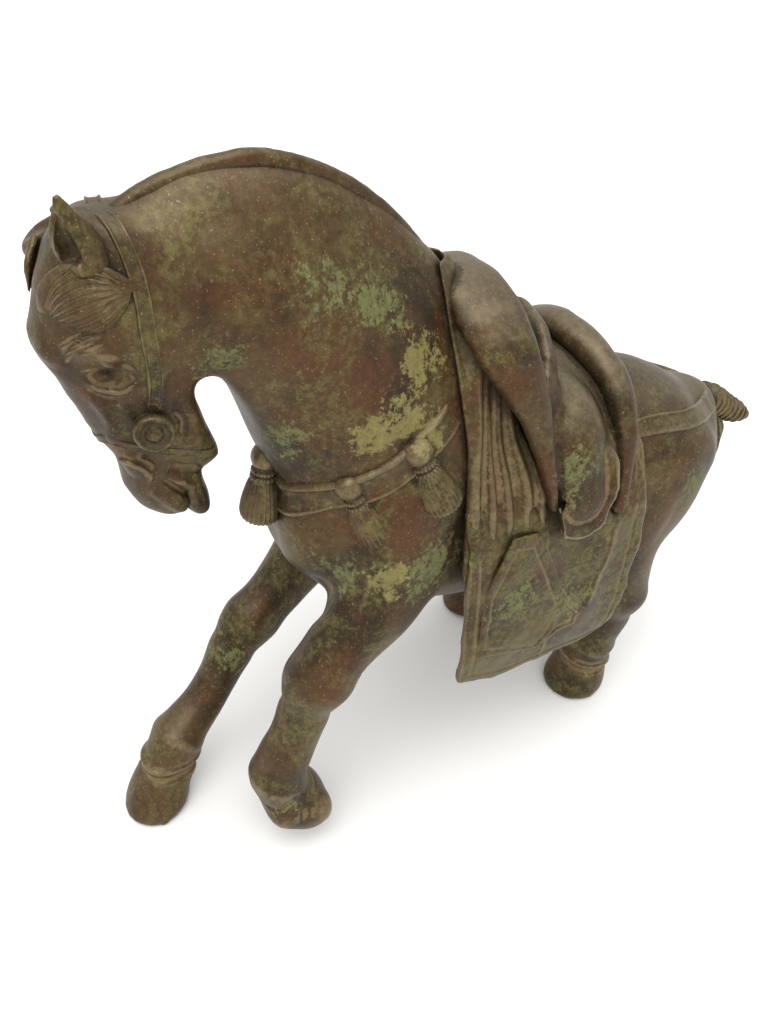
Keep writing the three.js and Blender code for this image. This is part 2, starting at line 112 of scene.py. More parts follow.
def aim(azimuth, elevation, roll):
    """The camera's three axes, as the columns of a rotation."""
    back = Vector((
        math.sin(azimuth) * math.cos(elevation),
        -math.cos(azimuth) * math.cos(elevation),
        math.sin(elevation),
    ))
    right = Vector((math.cos(azimuth), math.sin(azimuth), 0))
    up = back.cross(right)
    turned_right = right * math.cos(roll) + up * math.sin(roll)
    turned_up = up * math.cos(roll) - right * math.sin(roll)
    return Matrix((turned_right, turned_up, back)).transposed().to_4x4()


camera = bpy.data.objects.new("camera", bpy.data.cameras.new("camera"))
camera.data.sensor_width = SENSOR
camera.data.lens = LENS
camera.data.clip_start = 0.01
camera.matrix_world = Matrix.Translation(at(*CAMERA_PLACE)) @ aim(AZIMUTH, ELEVATION, ROLL)
bpy.context.scene.collection.objects.link(camera)
bpy.context.scene.camera = camera


def softbox(name, place, size, power, target=(0, 20, 150)):
    """A square soft light on the bench, turned to face the horse."""
    lamp = bpy.data.objects.new(name, bpy.data.lights.new(name, "AREA"))
    lamp.data.size = size
    lamp.data.energy = power
    lamp.location = at(*place)
    lamp.rotation_euler = (lamp.location - at(*target)).to_track_quat("Z", "Y").to_euler()
    bpy.context.scene.collection.objects.link(lamp)


softbox("overhead", (150, -50, 1300), 0.9, 6)
sky = bpy.data.objects.new("sky", bpy.data.lights.new("sky", "SUN"))
sky.data.angle = math.radians(50)
sky.data.energy = 1.25
sky.rotation_euler = Vector((0.55, -0.5, 1.3)).to_track_quat("Z", "Y").to_euler()
bpy.context.scene.collection.objects.link(sky)

world = bpy.data.worlds.new("studio")
world.use_nodes = True
world.node_tree.nodes["Background"].inputs["Color"].default_value = (1, 0.99, 0.97, 1)
world.node_tree.nodes["Background"].inputs["Strength"].default_value = 0.85
bpy.context.scene.world = world
bpy.context.scene.view_settings.view_transform = "Standard"

sheet = bmesh.new()
bmesh.ops.create_grid(sheet, x_segments=1, y_segments=1, size=FLOOR_HALF)
floor_mesh = bpy.data.meshes.new("floor")
sheet.to_mesh(floor_mesh)
sheet.free()
floor = bpy.data.objects.new("floor", floor_mesh)
bpy.context.scene.collection.objects.link(floor)
floor_paint = bpy.data.materials.new("floor_paper")
floor_paint.use_nodes = True
paper = floor_paint.node_tree.nodes["Principled BSDF"]
paper.inputs["Base Color"].default_value = (0.93, 0.93, 0.92, 1)
paper.inputs["Roughness"].default_value = 0.9
floor.data.materials.append(floor_paint)
floor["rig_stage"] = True
print("camera at", [round(v, 3) for v in camera.location])

# %% [markdown]
# ## Clay
# The castings are plain closed solids with flat facets. Melting them together with a voxel remesh gives
# one even skin of small squares, which can be pushed about like clay. The skin is kept as arrays of
# bench millimetres while it is worked, because a stroke has to move thousands of points at once.


# %% Whole-mesh steps
def with_modifier(mesh, kind, **settings):
    """A new mesh: the given one after a single modifier."""
    holder = bpy.data.objects.new("holder", mesh)
    bpy.context.scene.collection.objects.link(holder)
    modifier = holder.modifiers.new("step", kind)
    for name, value in settings.items():
        setattr(modifier, name, value)
    depsgraph = bpy.context.evaluated_depsgraph_get()
    result = bpy.data.meshes.new_from_object(holder.evaluated_get(depsgraph))
    bpy.data.objects.remove(holder)
    return result


def edge_pairs(mesh):
    """The two ends of every edge, as an array."""
    pairs = np.empty(len(mesh.edges) * 2, np.int32)
    mesh.edges.foreach_get("vertices", pairs)
    return pairs.reshape(-1, 2)


def outer_skin_only(mesh):
    """Deletes every loose shell but the largest, which is the outside of the casting."""
    pairs = edge_pairs(mesh)
    label = np.arange(len(mesh.vertices))
    settled = False
    while not settled:
        lower = np.minimum(label[pairs[:, 0]], label[pairs[:, 1]])
        new = label.copy()
        np.minimum.at(new, pairs[:, 0], lower)
        np.minimum.at(new, pairs[:, 1], lower)
        new = new[new]
        settled = np.array_equal(new, label)
        label = new
    names, counts = np.unique(label, return_counts=True)
    wanted = label == names[counts.argmax()]
    if wanted.all():
        return
    shell = bmesh.new()
    shell.from_mesh(mesh)
    inner = [v for v, keep in zip(shell.verts, wanted) if not keep]
    bmesh.ops.delete(shell, geom=inner, context="VERTS")
    shell.to_mesh(mesh)
    shell.free()


print("clay tools: with_modifier, edge_pairs, outer_skin_only")


# %% Clay held as arrays
class Clay:
    """A dense skin, held as arrays in bench millimetres while it is worked."""

    def __init__(self, mesh):
        self.mesh = mesh
        self.pairs = edge_pairs(mesh)
        count = len(mesh.vertices)
        self.degree = np.bincount(self.pairs.ravel(), minlength=count)[:, None]
        points = np.empty(count * 3)
        mesh.vertices.foreach_get("co", points)
        self.co = (points.reshape(-1, 3) - BENCH_ARRAY) / MM
        self.rim = None
        self.refresh()

    def refresh(self):
        """Writes the points back to the mesh and reads its new normals."""
        self.mesh.vertices.foreach_set("co", (self.co * MM + BENCH_ARRAY).ravel())
        self.mesh.update()
        normals = np.empty(len(self.co) * 3)
        self.mesh.vertex_normals.foreach_get("vector", normals)
        self.normal = normals.reshape(-1, 3)

    def around(self, values):
        """The mean of each point's neighbours."""
        total = np.zeros_like(values)
        for here, there in ((0, 1), (1, 0)):
            for k in range(values.shape[1]):
                weights = values[self.pairs[:, there], k]
                total[:, k] += np.bincount(self.pairs[:, here], weights, minlength=len(values))
        return total / np.maximum(self.degree, 1)

    def soften(self, rounds, where=1.0, strength=0.6):
        """Draws every point towards its neighbours, which takes facets and marks away."""
        reach = np.asarray(where, float).reshape(-1, 1) * strength
        for _ in range(rounds):
            self.co += (self.around(self.co) - self.co) * reach
        self.refresh()


print("clay holds its points in steps of", MM, "m")


# %% Melt castings into clay
def to_mesh(bm, name):
    """A bmesh as a new mesh."""
    mesh = bpy.data.meshes.new(name)
    bm.to_mesh(mesh)
    bm.free()
    return mesh


def clay_of(name, nodes, voxel, swell=0.25, rounds=12, reshape=None, lumps=(), where=None, hollow=None):
    """Clay melted from CAD castings and extra lumps, softened while coarse and then divided once.

    swell closes the fine seams between castings first, and makes up for what softening takes off.
    hollow is an object that is cut away before the softening, and lumps may reach into its place.
    """
    merged = bmesh.new()
    for node in nodes:
        merged.from_mesh(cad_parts[node].data)
    bmesh.ops.remove_doubles(merged, verts=merged.verts, dist=1e-6)
    merged.normal_update()
    for vert in merged.verts:
        vert.co += vert.normal * swell * MM
        if reshape:
            vert.co = at(*reshape((vert.co - BENCH) / MM))
    for lump in lumps:
        lump(merged)
    coarse = with_modifier(to_mesh(merged, name), "REMESH", mode="VOXEL", voxel_size=2 * voxel * MM)
    if hollow:
        cut = with_modifier(coarse, "BOOLEAN", operation="DIFFERENCE", solver="EXACT", object=hollow)
        bpy.data.objects.remove(hollow)
        coarse = with_modifier(cut, "REMESH", mode="VOXEL", voxel_size=2 * voxel * MM)
    outer_skin_only(coarse)
    blank = Clay(coarse)
    blank.soften(rounds, where=where(blank.co) if where else 1.0)
    clay = Clay(with_modifier(coarse, "SUBSURF", levels=1, render_levels=1))
    print(f"{name}: {len(clay.co)} points")
    return clay


def oval_rod(centre, tilt, radii):
    """A rod across the horse with an oval section, tipped forward by tilt, for cutting a hollow."""
    bm = bmesh.new()
    scale = Matrix.Diagonal((*[r * MM for r in radii], 1))
    place = Matrix.Translation(at(*centre)) @ Matrix.Rotation(tilt, 4, "X") @ scale
    bmesh.ops.create_icosphere(bm, subdivisions=4, radius=1, matrix=place)
    rod = bpy.data.objects.new("oval_rod", to_mesh(bm, "oval_rod"))
    bpy.context.scene.collection.objects.link(rod)
    return rod


def ball(centre, radii):
    """A lump of clay: an oval ball of those three half sizes."""
    scale = Matrix.Diagonal((*[r * MM for r in radii], 1))
    place = Matrix.Translation(at(*centre)) @ scale

    def add(bm):
        bmesh.ops.create_icosphere(bm, subdivisions=3, radius=1, matrix=place)

    return add


print("clay_of melts", len(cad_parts), "castings in groups")


# %% [markdown]
# ## Tools for working the clay
# Three tools do nearly everything. A stroke raises or cuts a soft line along a path. A thumb raises or
# presses a round patch, and a pull drags a patch bodily. A path may be followed in space, or laid on the
# surface as seen from one side, which is how faces, folds and borders are drawn.


# %% Strokes, thumbs and pulls
def ease(t):
    """A smooth step from 0 to 1."""
    t = np.clip(t, 0, 1)
    return t * t * (3 - 2 * t)


def smooth_path(points, between=6):
    """A smooth line through a few points."""
    p = np.array(points, float)
    ends = np.vstack([2 * p[0] - p[1], p, 2 * p[-1] - p[-2]])
    t = np.linspace(0, 1, between, endpoint=False)[:, None]
    pieces = []
    for a, b, c, d in zip(ends, ends[1:], ends[2:], ends[3:]):
        bend = 2 * a - 5 * b + 4 * c - d
        tail = 3 * b - a - 3 * c + d
        pieces.append(0.5 * (2 * b + (c - a) * t + bend * t**2 + tail * t**3))
    return np.vstack([*pieces, p[-1:]])


def off_line(points, line):
    """How far each point is from a line, and how far along the line its foot lies, from 0 to 1."""
    best = np.full(len(points), 1e9)
    along = np.zeros(len(points))
    lengths = np.linalg.norm(np.diff(line, axis=0), axis=1)
    total = lengths.sum()
    run = 0.0
    for start, end, length in zip(line, line[1:], lengths):
        direction = (end - start) / max(length, 1e-9)
        foot = np.clip((points - start) @ direction, 0, length)
        gap = np.linalg.norm(points - start - foot[:, None] * direction, axis=1)
        nearer = gap < best
        best[nearer] = gap[nearer]
        along[nearer] = (run + foot[nearer]) / total
        run += length
    return best, along


def flattened(points, direction):
    """Points moved along a direction onto the plane through the origin that is square to it."""
    return points - (points @ direction)[:, None] * direction


def stroke(clay, path, width, height, seen_from=None, ends=0.2, straight=False):
    """Raises a soft line of that width along a path, or cuts it if the height is negative.

    With seen_from, the path is laid on whatever surface faces that way, however deep it lies.
    """
    line = np.array(path, float) if straight else smooth_path(path)
    seen = clay.co
    facing = np.ones(len(seen))
    if seen_from is not None:
        direction = np.array(seen_from, float) / np.linalg.norm(seen_from)
        line = flattened(line, direction)
        seen = flattened(seen, direction)
        facing = np.clip(clay.normal @ direction * 3, 0, 1)
    reach = 3 * width
    low, high = line.min(axis=0) - reach, line.max(axis=0) + reach
    near = np.all((seen > low) & (seen < high), axis=1) & (facing > 0)
    index = np.flatnonzero(near)
    away, along = off_line(seen[index], line)
    rise = height * np.exp(-((away / width) ** 2)) * facing[index]
    if ends:
        rise *= ease(np.minimum(along, 1 - along) / ends)
    clay.co[index] += clay.normal[index] * rise[:, None]


def side_view(points):
    """A path drawn in the side view, as (y, z), placed on the middle plane."""
    return [(0, y, z) for y, z in points]


def patch(clay, centre, radius):
    """1 at the centre of a round or oval patch, falling smoothly to 0 at its radius."""
    offset = (clay.co - np.array(centre, float)) / np.array(radius, float)
    return np.clip(1 - (offset**2).sum(axis=1), 0, 1) ** 2


def thumb(clay, centre, radius, height):
    """Raises a patch along the surface's own normal, or presses it in."""
    clay.co += clay.normal * (height * patch(clay, centre, radius))[:, None]


def pull(clay, centre, radius, move):
    """Drags a patch by a vector."""
    clay.co += patch(clay, centre, radius)[:, None] * np.array(move, float)


def hammer(clay, size, height, seed):
    """The slight unevenness of a hand-finished wax, in lumps of that size."""
    shift = Vector((seed, 2 * seed, 3 * seed))
    lumps = np.array([noise.noise(Vector(p) / size + shift) for p in clay.co])
    clay.co += clay.normal * (height * lumps)[:, None]


def both(points):
    """A path or point on the left side, and its mirror on the right."""
    p = np.array(points, float)
    return p, p * [-1, 1, 1]


print("modelling tools: stroke, thumb, pull, hammer")

# %% [markdown]
# ## Cutting the clay apart
# A founder cuts the wax on planes and casts the sections one by one. bisect_plane puts an edge along the
# plane, the faces are shared out by the side of each plane that their middles lie on, and the open ends
# are filled. The rim of a filled end is marked sharp, so that the flat cap doesn't bend the shading of
# the skin beside it.


# %% The founder's cuts, and finishing
def face_centres(bm):
    """The middle of every face, as an array in bench millimetres."""
    centres = np.array([f.calc_center_median() for f in bm.faces])
    return (centres - BENCH_ARRAY) / MM


def saw(bm, point, normal, reach):
    """Cuts an edge across every face near the point, along a plane."""
    near = np.linalg.norm(face_centres(bm) - np.array(point, float), axis=1) < reach
    geom = set()
    for face, close in zip(bm.faces, near):
        if close:
            geom.add(face)
            geom.update(face.edges)
            geom.update(face.verts)
    bmesh.ops.bisect_plane(bm, geom=list(geom), plane_co=at(*point), plane_no=normal, dist=1e-8)


def keep_faces(mesh, wanted):
    """A new bmesh with only the wanted faces of a mesh."""
    part = bmesh.new()
    part.from_mesh(mesh)
    bmesh.ops.delete(part, geom=[f for f, keep in zip(part.faces, wanted) if not keep], context="FACES")
    return part


def beyond(centres, point, normal):
    """Which places lie on the normal's side of a plane."""
    return (centres - np.array(point, float)) @ np.array(normal, float) > 0


def cap(bm):
    """Fills the open ends and marks their rims sharp."""
    rims = [e for e in bm.edges if e.is_boundary]
    for edge in rims:
        edge.smooth = False
    bmesh.ops.holes_fill(bm, edges=rims, sides=0)
    bmesh.ops.recalc_face_normals(bm, faces=bm.faces)


pieces = {}


def finish_piece(mesh, name, nodes, slot_name, body="root"):
    """Makes the finished object, which rides on the frame and stands for its castings."""
    mesh.polygons.foreach_set("use_smooth", np.ones(len(mesh.polygons), bool))
    piece = bpy.data.objects.new(name, mesh)
    mesh.name = name
    bpy.context.scene.collection.objects.link(piece)
    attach(piece, body)
    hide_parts(*nodes)
    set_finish(piece, slot_name)
    pieces[name] = piece
    print(f"{name}: {len(mesh.polygons)} faces")


# %% [markdown]
# ## The casting: trunk, neck, head and legs
# On the real horse the sections are chased until no seam shows, so they are melted into one skin, and the
# muscle is worked across the seams. The head is left a little crisper than the body. Softening comes
# first, because it takes the facets out of the castings, and then the modelling goes on top. A rod with
# an oval section is cut away behind the jaw, so that light shows between the head and the neck.

# %% Melt and soften the casting
LEGS = ["left_foreleg", "right_foreleg", "left_hindleg", "right_hindleg"]
HEAD_START = -98
THROAT = (0, -86.5, 212)  # the open gap between the jaw and the neck
THROAT_TILT = math.radians(21)
THROAT_RADII = (75, 6.5, 27)


def casting_softness(co):
    """Full softening on the body, less on the slim legs and least on the head and the hooves."""
    head_zone = ease((HEAD_START - co[:, 1]) / 10) * ease((co[:, 2] - 150) / 20)
    leg_zone = ease((118 - co[:, 2]) / 30)
    return 1 - 0.7 * head_zone - 0.72 * leg_zone


casting = clay_of(
    "casting",
    ["trunk_shell", "belly_plug", "neck_shell", "head_shell", *LEGS],
    voxel=0.95,
    swell=0.45,
    rounds=34,
    where=casting_softness,
    lumps=[
        ball((-9, -120, 19), (10, 9, 9)),  # right fore pastern
        ball((-48.5, 72, 20), (11, 10, 8)),  # right hind pastern
        ball((0, -8, 205), (26, 20, 22)),  # withers
        ball((0, -104, 193), (9.5, 8, 12)),  # chin
    ],
    hollow=oval_rod(THROAT, THROAT_TILT, THROAT_RADII),
)

# %% Muscle and joints
for centre, radius, height in (
    ((34, -18, 178), (14, 20, 26), 2.4),  # shoulder blade
    ((36, -34, 150), (14, 16, 20), 2.2),  # point of the shoulder
    ((36, 100, 158), (16, 24, 26), 2.2),  # haunch
    ((40, 92, 128), (14, 18, 24), 1.6),  # stifle
):
    for place in both(centre):
        thumb(casting, place, radius, height)
thumb(casting, (0, -66, 160), (9, 16, 30), -1.6)  # groove between the breasts
for place in both((14, -62, 158)):
    thumb(casting, place, (14, 14, 26), 2.0)
casting.refresh()
stroke(casting, [(38, -46, 150), (40, -52, 138), (41, -54, 126)], 3, -1.0)
stroke(casting, [(22, -58, 140), (24, -62, 128), (26, -60, 118)], 4, -1.6)
NECK_CREASE = [(10.7, -88.3, 284.8), (14.7, -91.9, 278.5), (18.8, -92.6, 271.6), (22.3, -91.7, 262)]
for path in both(NECK_CREASE):
    stroke(casting, path, 3.0, -0.35)
for path in both([(42, 104, 138), (41, 98, 120), (42, 92, 108)]):
    stroke(casting, path, 3.5, -1.1)
casting.refresh()
print("muscled casting spans", np.ptp(casting.co, axis=0).round(1), "mm")

# %% [markdown]
# Each leg gets the bones that a caster shows: a square knee, a round fetlock, a ringed coronet and a
# hoof that flares. The rings are planes cut across the leg, so they are made by measuring along it.


# %% Legs
def ring(clay, centre, axis, radius, width, height):
    """A raised or cut ring round a leg, square to its axis."""
    axis = np.array(axis, float) / np.linalg.norm(axis)
    offset = clay.co - np.array(centre, float)
    along = offset @ axis
    near = np.linalg.norm(offset, axis=1) < radius
    rise = np.where(near, height * np.exp(-((along / width) ** 2)), 0)
    clay.co += clay.normal * rise[:, None]


JOINTS = {
    "left_foreleg": {"knee": (34, -70, 99), "fetlock": (34, -88, 44), "down": (0, -0.35, -1)},
    "right_foreleg": {"knee": (-25, -73, 79), "fetlock": (-12.5, -118, 34), "down": (0.25, -0.75, -0.65)},
    "left_hindleg": {"knee": (34, 92, 76), "fetlock": (28, 90, 36), "down": (-0.1, -0.1, -1)},
    "right_hindleg": {"knee": (-39, 94, 74), "fetlock": (-46, 80, 36), "down": (-0.15, -0.5, -1)},
}
for joint in JOINTS.values():
    down = Vector(joint["down"]).normalized()
    knee = Vector(joint["knee"])
    fetlock = Vector(joint["fetlock"])
    ring(casting, knee, down, 20, 7, 1.5)
    ring(casting, knee + down * 13, down, 18, 4, -0.8)
    ring(casting, fetlock, down, 18, 4.5, 1.2)
    casting.refresh()
for leg, top in (("right_foreleg", 26), ("left_hindleg", 25), ("right_hindleg", 25)):
    x, y, z = JOINTS[leg]["fetlock"]
    foot = (x, y - 6 if leg == "right_foreleg" else y - 2, top)
    ring(casting, foot, (0, 0.15, 1), 19, 1.6, 1.3)
    ring(casting, (foot[0], foot[1], top - 4.5), (0, 0.15, 1), 19, 1.5, -1.2)
casting.refresh()
# The raised hoof: its coronet, the edge of its sole, and two bulbs.
stroke(casting, [(47, -84, 44), (45, -90, 37), (38, -97, 36), (30, -96, 38), (23, -88, 42)], 1.6, -1.6)
stroke(casting, [(50, -80, 36), (47, -82, 24), (42, -82, 14), (34, -82, 10), (26, -82, 14)], 2.0, -2.2)
thumb(casting, (45, -92, 25), (10, 10, 12), 1.5)
thumb(casting, (46, -72, 25), (10, 9, 11), 2.2)
hammer(casting, 17, 0.55, 3)
casting.refresh()
print("legs ringed:", list(JOINTS))

# %% Cut the casting into its sections
NECK_SEAM = ((0, -28, 200.5), (0, -0.488, 0.873))
HEAD_SEAM = ((0, -97, 250), (0, -0.983, -0.18))
CHIN_BELOW = 188  # under this height only what stands before the chest is head
CHEST_FRONT = -92
HEAD_LOW = 165
LEG_HIGH = 135
LEG_SEAMS = {
    "left_foreleg": ((34, -56, 114), (0, -0.62, -0.78)),
    "right_foreleg": ((-28, -50, 100), (0.1, -0.75, -0.65)),
    "left_hindleg": ((34, 90, 92), (0, 0.05, -1)),
    "right_hindleg": ((-36, 92, 90), (-0.1, 0, -1)),
}
whole = bmesh.new()
whole.from_mesh(casting.mesh)
saw(whole, *NECK_SEAM, 120)
saw(whole, *HEAD_SEAM, 60)
for point, normal in LEG_SEAMS.values():
    saw(whole, point, normal, 34)
centres = face_centres(whole)
sawn = to_mesh(whole, "sawn")

belongs = {}
in_front = (centres[:, 1] < CHEST_FRONT) | (centres[:, 2] > CHIN_BELOW)
belongs["head_shell"] = beyond(centres, *HEAD_SEAM) & in_front & (centres[:, 2] > HEAD_LOW)
for leg, seam in LEG_SEAMS.items():
    own_side = centres[:, 0] > 10 if leg.startswith("left") else centres[:, 0] < 8
    own_end = centres[:, 1] < 0 if leg.endswith("foreleg") else centres[:, 1] > 40
    belongs[leg] = beyond(centres, *seam) & own_side & own_end & (centres[:, 2] < LEG_HIGH)
taken = np.any(list(belongs.values()), axis=0)
belongs["neck_shell"] = beyond(centres, *NECK_SEAM) & ~taken
belongs["trunk_shell"] = ~beyond(centres, *NECK_SEAM) & ~taken
sections = {name: keep_faces(sawn, mask) for name, mask in belongs.items()}
for name, section in sections.items():
    print(name, len(section.faces))

# %% Finish the trunk, the neck and the legs
for name in ["trunk_shell", "neck_shell", *LEGS]:
    cap(sections[name])
    nodes = [name, "belly_plug"] if name == "trunk_shell" else [name]
    slot_name = "bronze_legs" if name in LEGS else "bronze_skin"
    finish_piece(to_mesh(sections[name], name), name.replace("_shell", "_casting"), nodes, slot_name)

# %% [markdown]
# ## The head
# The head carries the finest work, so its skin is divided once more before the eyes, brow, nostrils and
# lips are cut. It is still open at the back, and its rim is held still so that it meets the neck.

# %% Divide the head
open_head = sections["head_shell"]
bmesh.ops.subdivide_edges(open_head, edges=open_head.edges[:], cuts=1, use_grid_fill=True, smooth=0.0)
open_head.verts.ensure_lookup_table()
head_rim = np.array([v.is_boundary for v in open_head.verts])
head = Clay(to_mesh(open_head, "head"))
head.soften(4, where=1 - head_rim)
print("head:", len(head.co), "points,", head_rim.sum(), "on its rim")

# %% Brow, eyes and muzzle
FROM_LEFT = np.array([0.8, -0.5, 0.3])


def on_face(path, width, height, **more):
    """The same stroke on both sides of the face."""
    for side, line in zip((1, -1), both(path)):
        stroke(head, line, width, height, seen_from=FROM_LEFT * [side, 1, 1], **more)


def on_cheeks(centre, radius, height):
    for place in both(centre):
        thumb(head, place, radius, height)


unworked = head.co.copy()
# The eye: its hollow, the brow over it, the ball, two lids and the fold beneath.
on_cheeks((17.5, -123, 244.5), (9, 10, 8.5), -4.4)
pull(head, (0, -137, 250), (13, 9, 12), (0, -2.0, 0.6))
head.refresh()
on_face([(9, -134, 250), (13, -130, 253.5), (17, -125, 253), (20.5, -117, 249)], 2.6, 2.4, ends=0.3)
head.refresh()
on_cheeks((15.2, -124.5, 243.5), (4.4, 4.6, 4.0), 4.2)
head.refresh()
UPPER_LID = [(11.5, -129.5, 243.5), (14.5, -127, 248), (18, -122, 248), (20.5, -116.5, 244)]
LOWER_LID = [(11.5, -129.5, 243), (14, -126, 239.3), (17.5, -121, 238.7), (20.5, -116.5, 242.5)]
on_face(UPPER_LID, 1.0, 1.7, ends=0.25)
on_face(LOWER_LID, 0.9, 1.3, ends=0.25)
on_face([(11, -131, 241), (13.5, -127, 236.5), (18, -121, 235.5)], 1.5, -0.8, ends=0.3)
for k in range(3):
    wrinkle = [(9, -134, 246.5 + 3 * k), (13.5, -129.5, 252 + 2.6 * k), (18.5, -122.5, 256 + 2.2 * k)]
    on_face(wrinkle, 0.8, -0.8, ends=0.25)
on_cheeks((6.5, -136, 251), (6, 6, 7), 1.6)
print("eyes and brow worked")

# %% Muzzle and jaw
on_cheeks((10.5, -121, 205), (6.5, 6, 7.5), 2.6)
head.refresh()
# The nostril: its hole, its wing and the crease behind it.
on_cheeks((12.5, -122, 203.5), (2.8, 3.2, 3.6), -3.2)
on_face([(8, -127, 208), (12.5, -122.5, 209), (15, -117.5, 204), (13.5, -118, 199.5)], 1.0, 1.3)
on_face([(14, -117, 215), (13, -119, 209), (15.5, -114, 205)], 1.6, -0.9, ends=0.3)
# The mouth: its corner, the cut between the lips and a full lip on each side of the cut.
on_face([(15.5, -111, 205.5), (14.8, -105, 201), (12, -98, 198)], 2.4, -2.4, ends=0.2)
on_face([(13, -112.5, 200), (12, -107, 192), (10, -102, 185), (7, -99.5, 180)], 1.0, -1.7, ends=0.15)
on_face([(13, -118, 198), (12.5, -112, 190), (10.5, -107, 183), (7, -103, 179)], 1.8, 1.2, ends=0.2)
on_face([(13, -108, 199), (12, -103, 191.5), (10, -98.5, 186)], 1.6, 1.3, ends=0.2)
# The ridge of the nose, the hollow beside it, the crescent behind the rosette, and the jowl.
on_face([(11, -129, 238), (12.5, -125, 226), (9, -127.5, 213)], 2.2, 1.3, ends=0.3)
on_face([(17, -118, 236), (16.5, -117, 226), (15.5, -117, 217)], 3.0, -1.0, ends=0.3)
on_face([(19.6, -107.5, 230), (18.8, -104.8, 223.5), (18.6, -106.5, 216.5)], 1.5, -1.8, ends=0.3)
on_cheeks((18, -101, 219), (8, 9, 14), 1.6)
hammer(head, 7, 0.35, 5)
HELD = 6  # how far in from the seam the modelling reaches its full strength
held = ease((unworked - np.array(HEAD_SEAM[0], float)) @ np.array(HEAD_SEAM[1]) / HELD)[:, None]
head.co = unworked * (1 - held) + head.co * held
head.refresh()


def form_tree(clay):
    """The clay's surface as a search tree, for laying straps on it."""
    points = [BENCH + Vector(p) * MM for p in clay.co]
    return BVHTree.FromPolygons(points, [tuple(f.vertices) for f in clay.mesh.polygons])


head_tree = form_tree(head)
print("head worked, deepest mark", round(float(np.abs(head.co - unworked).max()), 1), "mm")

# %% Close the head
closed = bmesh.new()
closed.from_mesh(head.mesh)
cap(closed)
finish_piece(to_mesh(closed, "head"), "head_casting", ["head_shell"], "bronze_skin")

# %% [markdown]
# ## Lip, ears, forelock, mane and tail
# These are small waxes that the modeller stuck on. Each is melted on its own at a finer grain, softened
# just enough to lose its facets, and given its strands with close parallel strokes.


# %% Small waxes
def small_wax(node, voxel=0.5, rounds=4, swell=0.35, **more):
    """Clay for a single small casting."""
    return clay_of(node, [node], voxel, swell, rounds, **more)


LIP_MIDDLE = -97
LIP_PRESSED = 2.4


def lip_shape(p):
    """The lip is pressed up against the mouth and made a little fuller."""
    return Vector((p.x * 1.15, (p.y - LIP_MIDDLE) * 1.1 + LIP_MIDDLE - LIP_PRESSED, p.z))


lip = small_wax("lower_lip", reshape=lip_shape)
for path in both([(8.5, -101, 196), (8.8, -100, 188), (7.6, -98, 180)]):
    stroke(lip, path, 1.3, -0.9)
stroke(lip, [(0, -93, 176), (0, -97, 173), (0, -101, 175)], 1.2, -1.2)
lip.refresh()
finish_piece(lip.mesh, "lower_lip_wax", ["lower_lip"], "bronze_skin")

# %% Ears
EAR_WAIST = 282  # the height above which the ear narrows


def ear_shape(p):
    """The upper half of the ear is drawn in, so that it ends in a point."""
    above = p.z - EAR_WAIST
    upper = float(ease(above / 12))
    axis = Vector((14 + 0.12 * above, -124 - 0.25 * above, p.z))
    slim = 1 - 0.35 * upper
    return Vector((axis.x + (p.x - axis.x) * slim, axis.y + (p.y - axis.y) * slim, p.z + 1.5 * upper))


left_ear = small_wax("left_ear", voxel=0.32, rounds=2, reshape=ear_shape)
EAR_FRONT = (0.55, -0.8, 0.25)
for path, width, height in (
    ([(16, -129, 276), (17, -130, 283), (15.8, -129.5, 293)], 1.3, -1.6),  # cup
    ([(12, -130, 274), (12.4, -131, 284), (15, -129.5, 295)], 0.8, 0.9),  # inner rim
    ([(20.5, -127, 276), (20, -127.5, 285), (16.5, -128.5, 295)], 0.8, 0.9),  # outer rim
    ([(16, -129, 277), (16.2, -130, 281)], 0.7, 0.9),  # the forked fold at its foot
    ([(16.2, -130, 276), (19, -128.5, 274)], 0.7, 0.9),
):
    stroke(left_ear, path, width, height, seen_from=EAR_FRONT, ends=0.1)
left_ear.refresh()
finish_piece(left_ear.mesh, "left_ear_wax", ["left_ear"], "bronze_skin")
right_ear = small_wax("right_ear", voxel=0.45, rounds=5)
finish_piece(right_ear.mesh, "right_ear_wax", ["right_ear"], "bronze_skin")

# %% Forelock
WING_FOLD = 260  # the height above which a wing of hair is stretched


def wing_shape(p):
    """The wing is drawn up over the brow."""
    return Vector((p.x, p.y, p.z + 0.45 * max(0, p.z - WING_FOLD)))


WING_TOP = [(9, -136, 264), (13, -131, 274.5), (18, -124, 279.5), (19.5, -114, 273)]
WING_FOOT = [(10, -134, 257.5), (15, -129.5, 256.5), (20, -122, 260.5), (20.5, -113, 269)]
STRANDS = 8
for node, side in (("forelock_left", 0), ("forelock_right", 1)):
    wing = small_wax(node, voxel=0.35, rounds=3, reshape=wing_shape)
    top, foot = both(WING_TOP)[side], both(WING_FOOT)[side]
    sight = np.array([0.75, -0.6, 0.15]) * [1 - 2 * side, 1, 1]
    for k in range(STRANDS):
        share = (k + 0.4) / STRANDS
        stroke(wing, top * (1 - share) + foot * share, 0.42, -0.8, seen_from=sight, ends=0.08)
    wing.refresh()
    finish_piece(wing.mesh, node + "_wax", [node], "bronze_skin")

# %% Mane
NECK_HEART = Vector((0, -40, 200))
MANE_SUNK = 3.4


def mane_shape(p):
    """The roach is clipped narrow and set down into the crest."""
    inward = (NECK_HEART - p).normalized()
    return Vector((p.x * 0.74, p.y, p.z)) + inward * MANE_SUNK


mane = small_wax("mane_roach", voxel=0.6, rounds=8, reshape=mane_shape)
hammer(mane, 11, 0.4, 8)
mane.refresh()
finish_piece(mane.mesh, "mane_wax", ["mane_roach"], "bronze_skin")

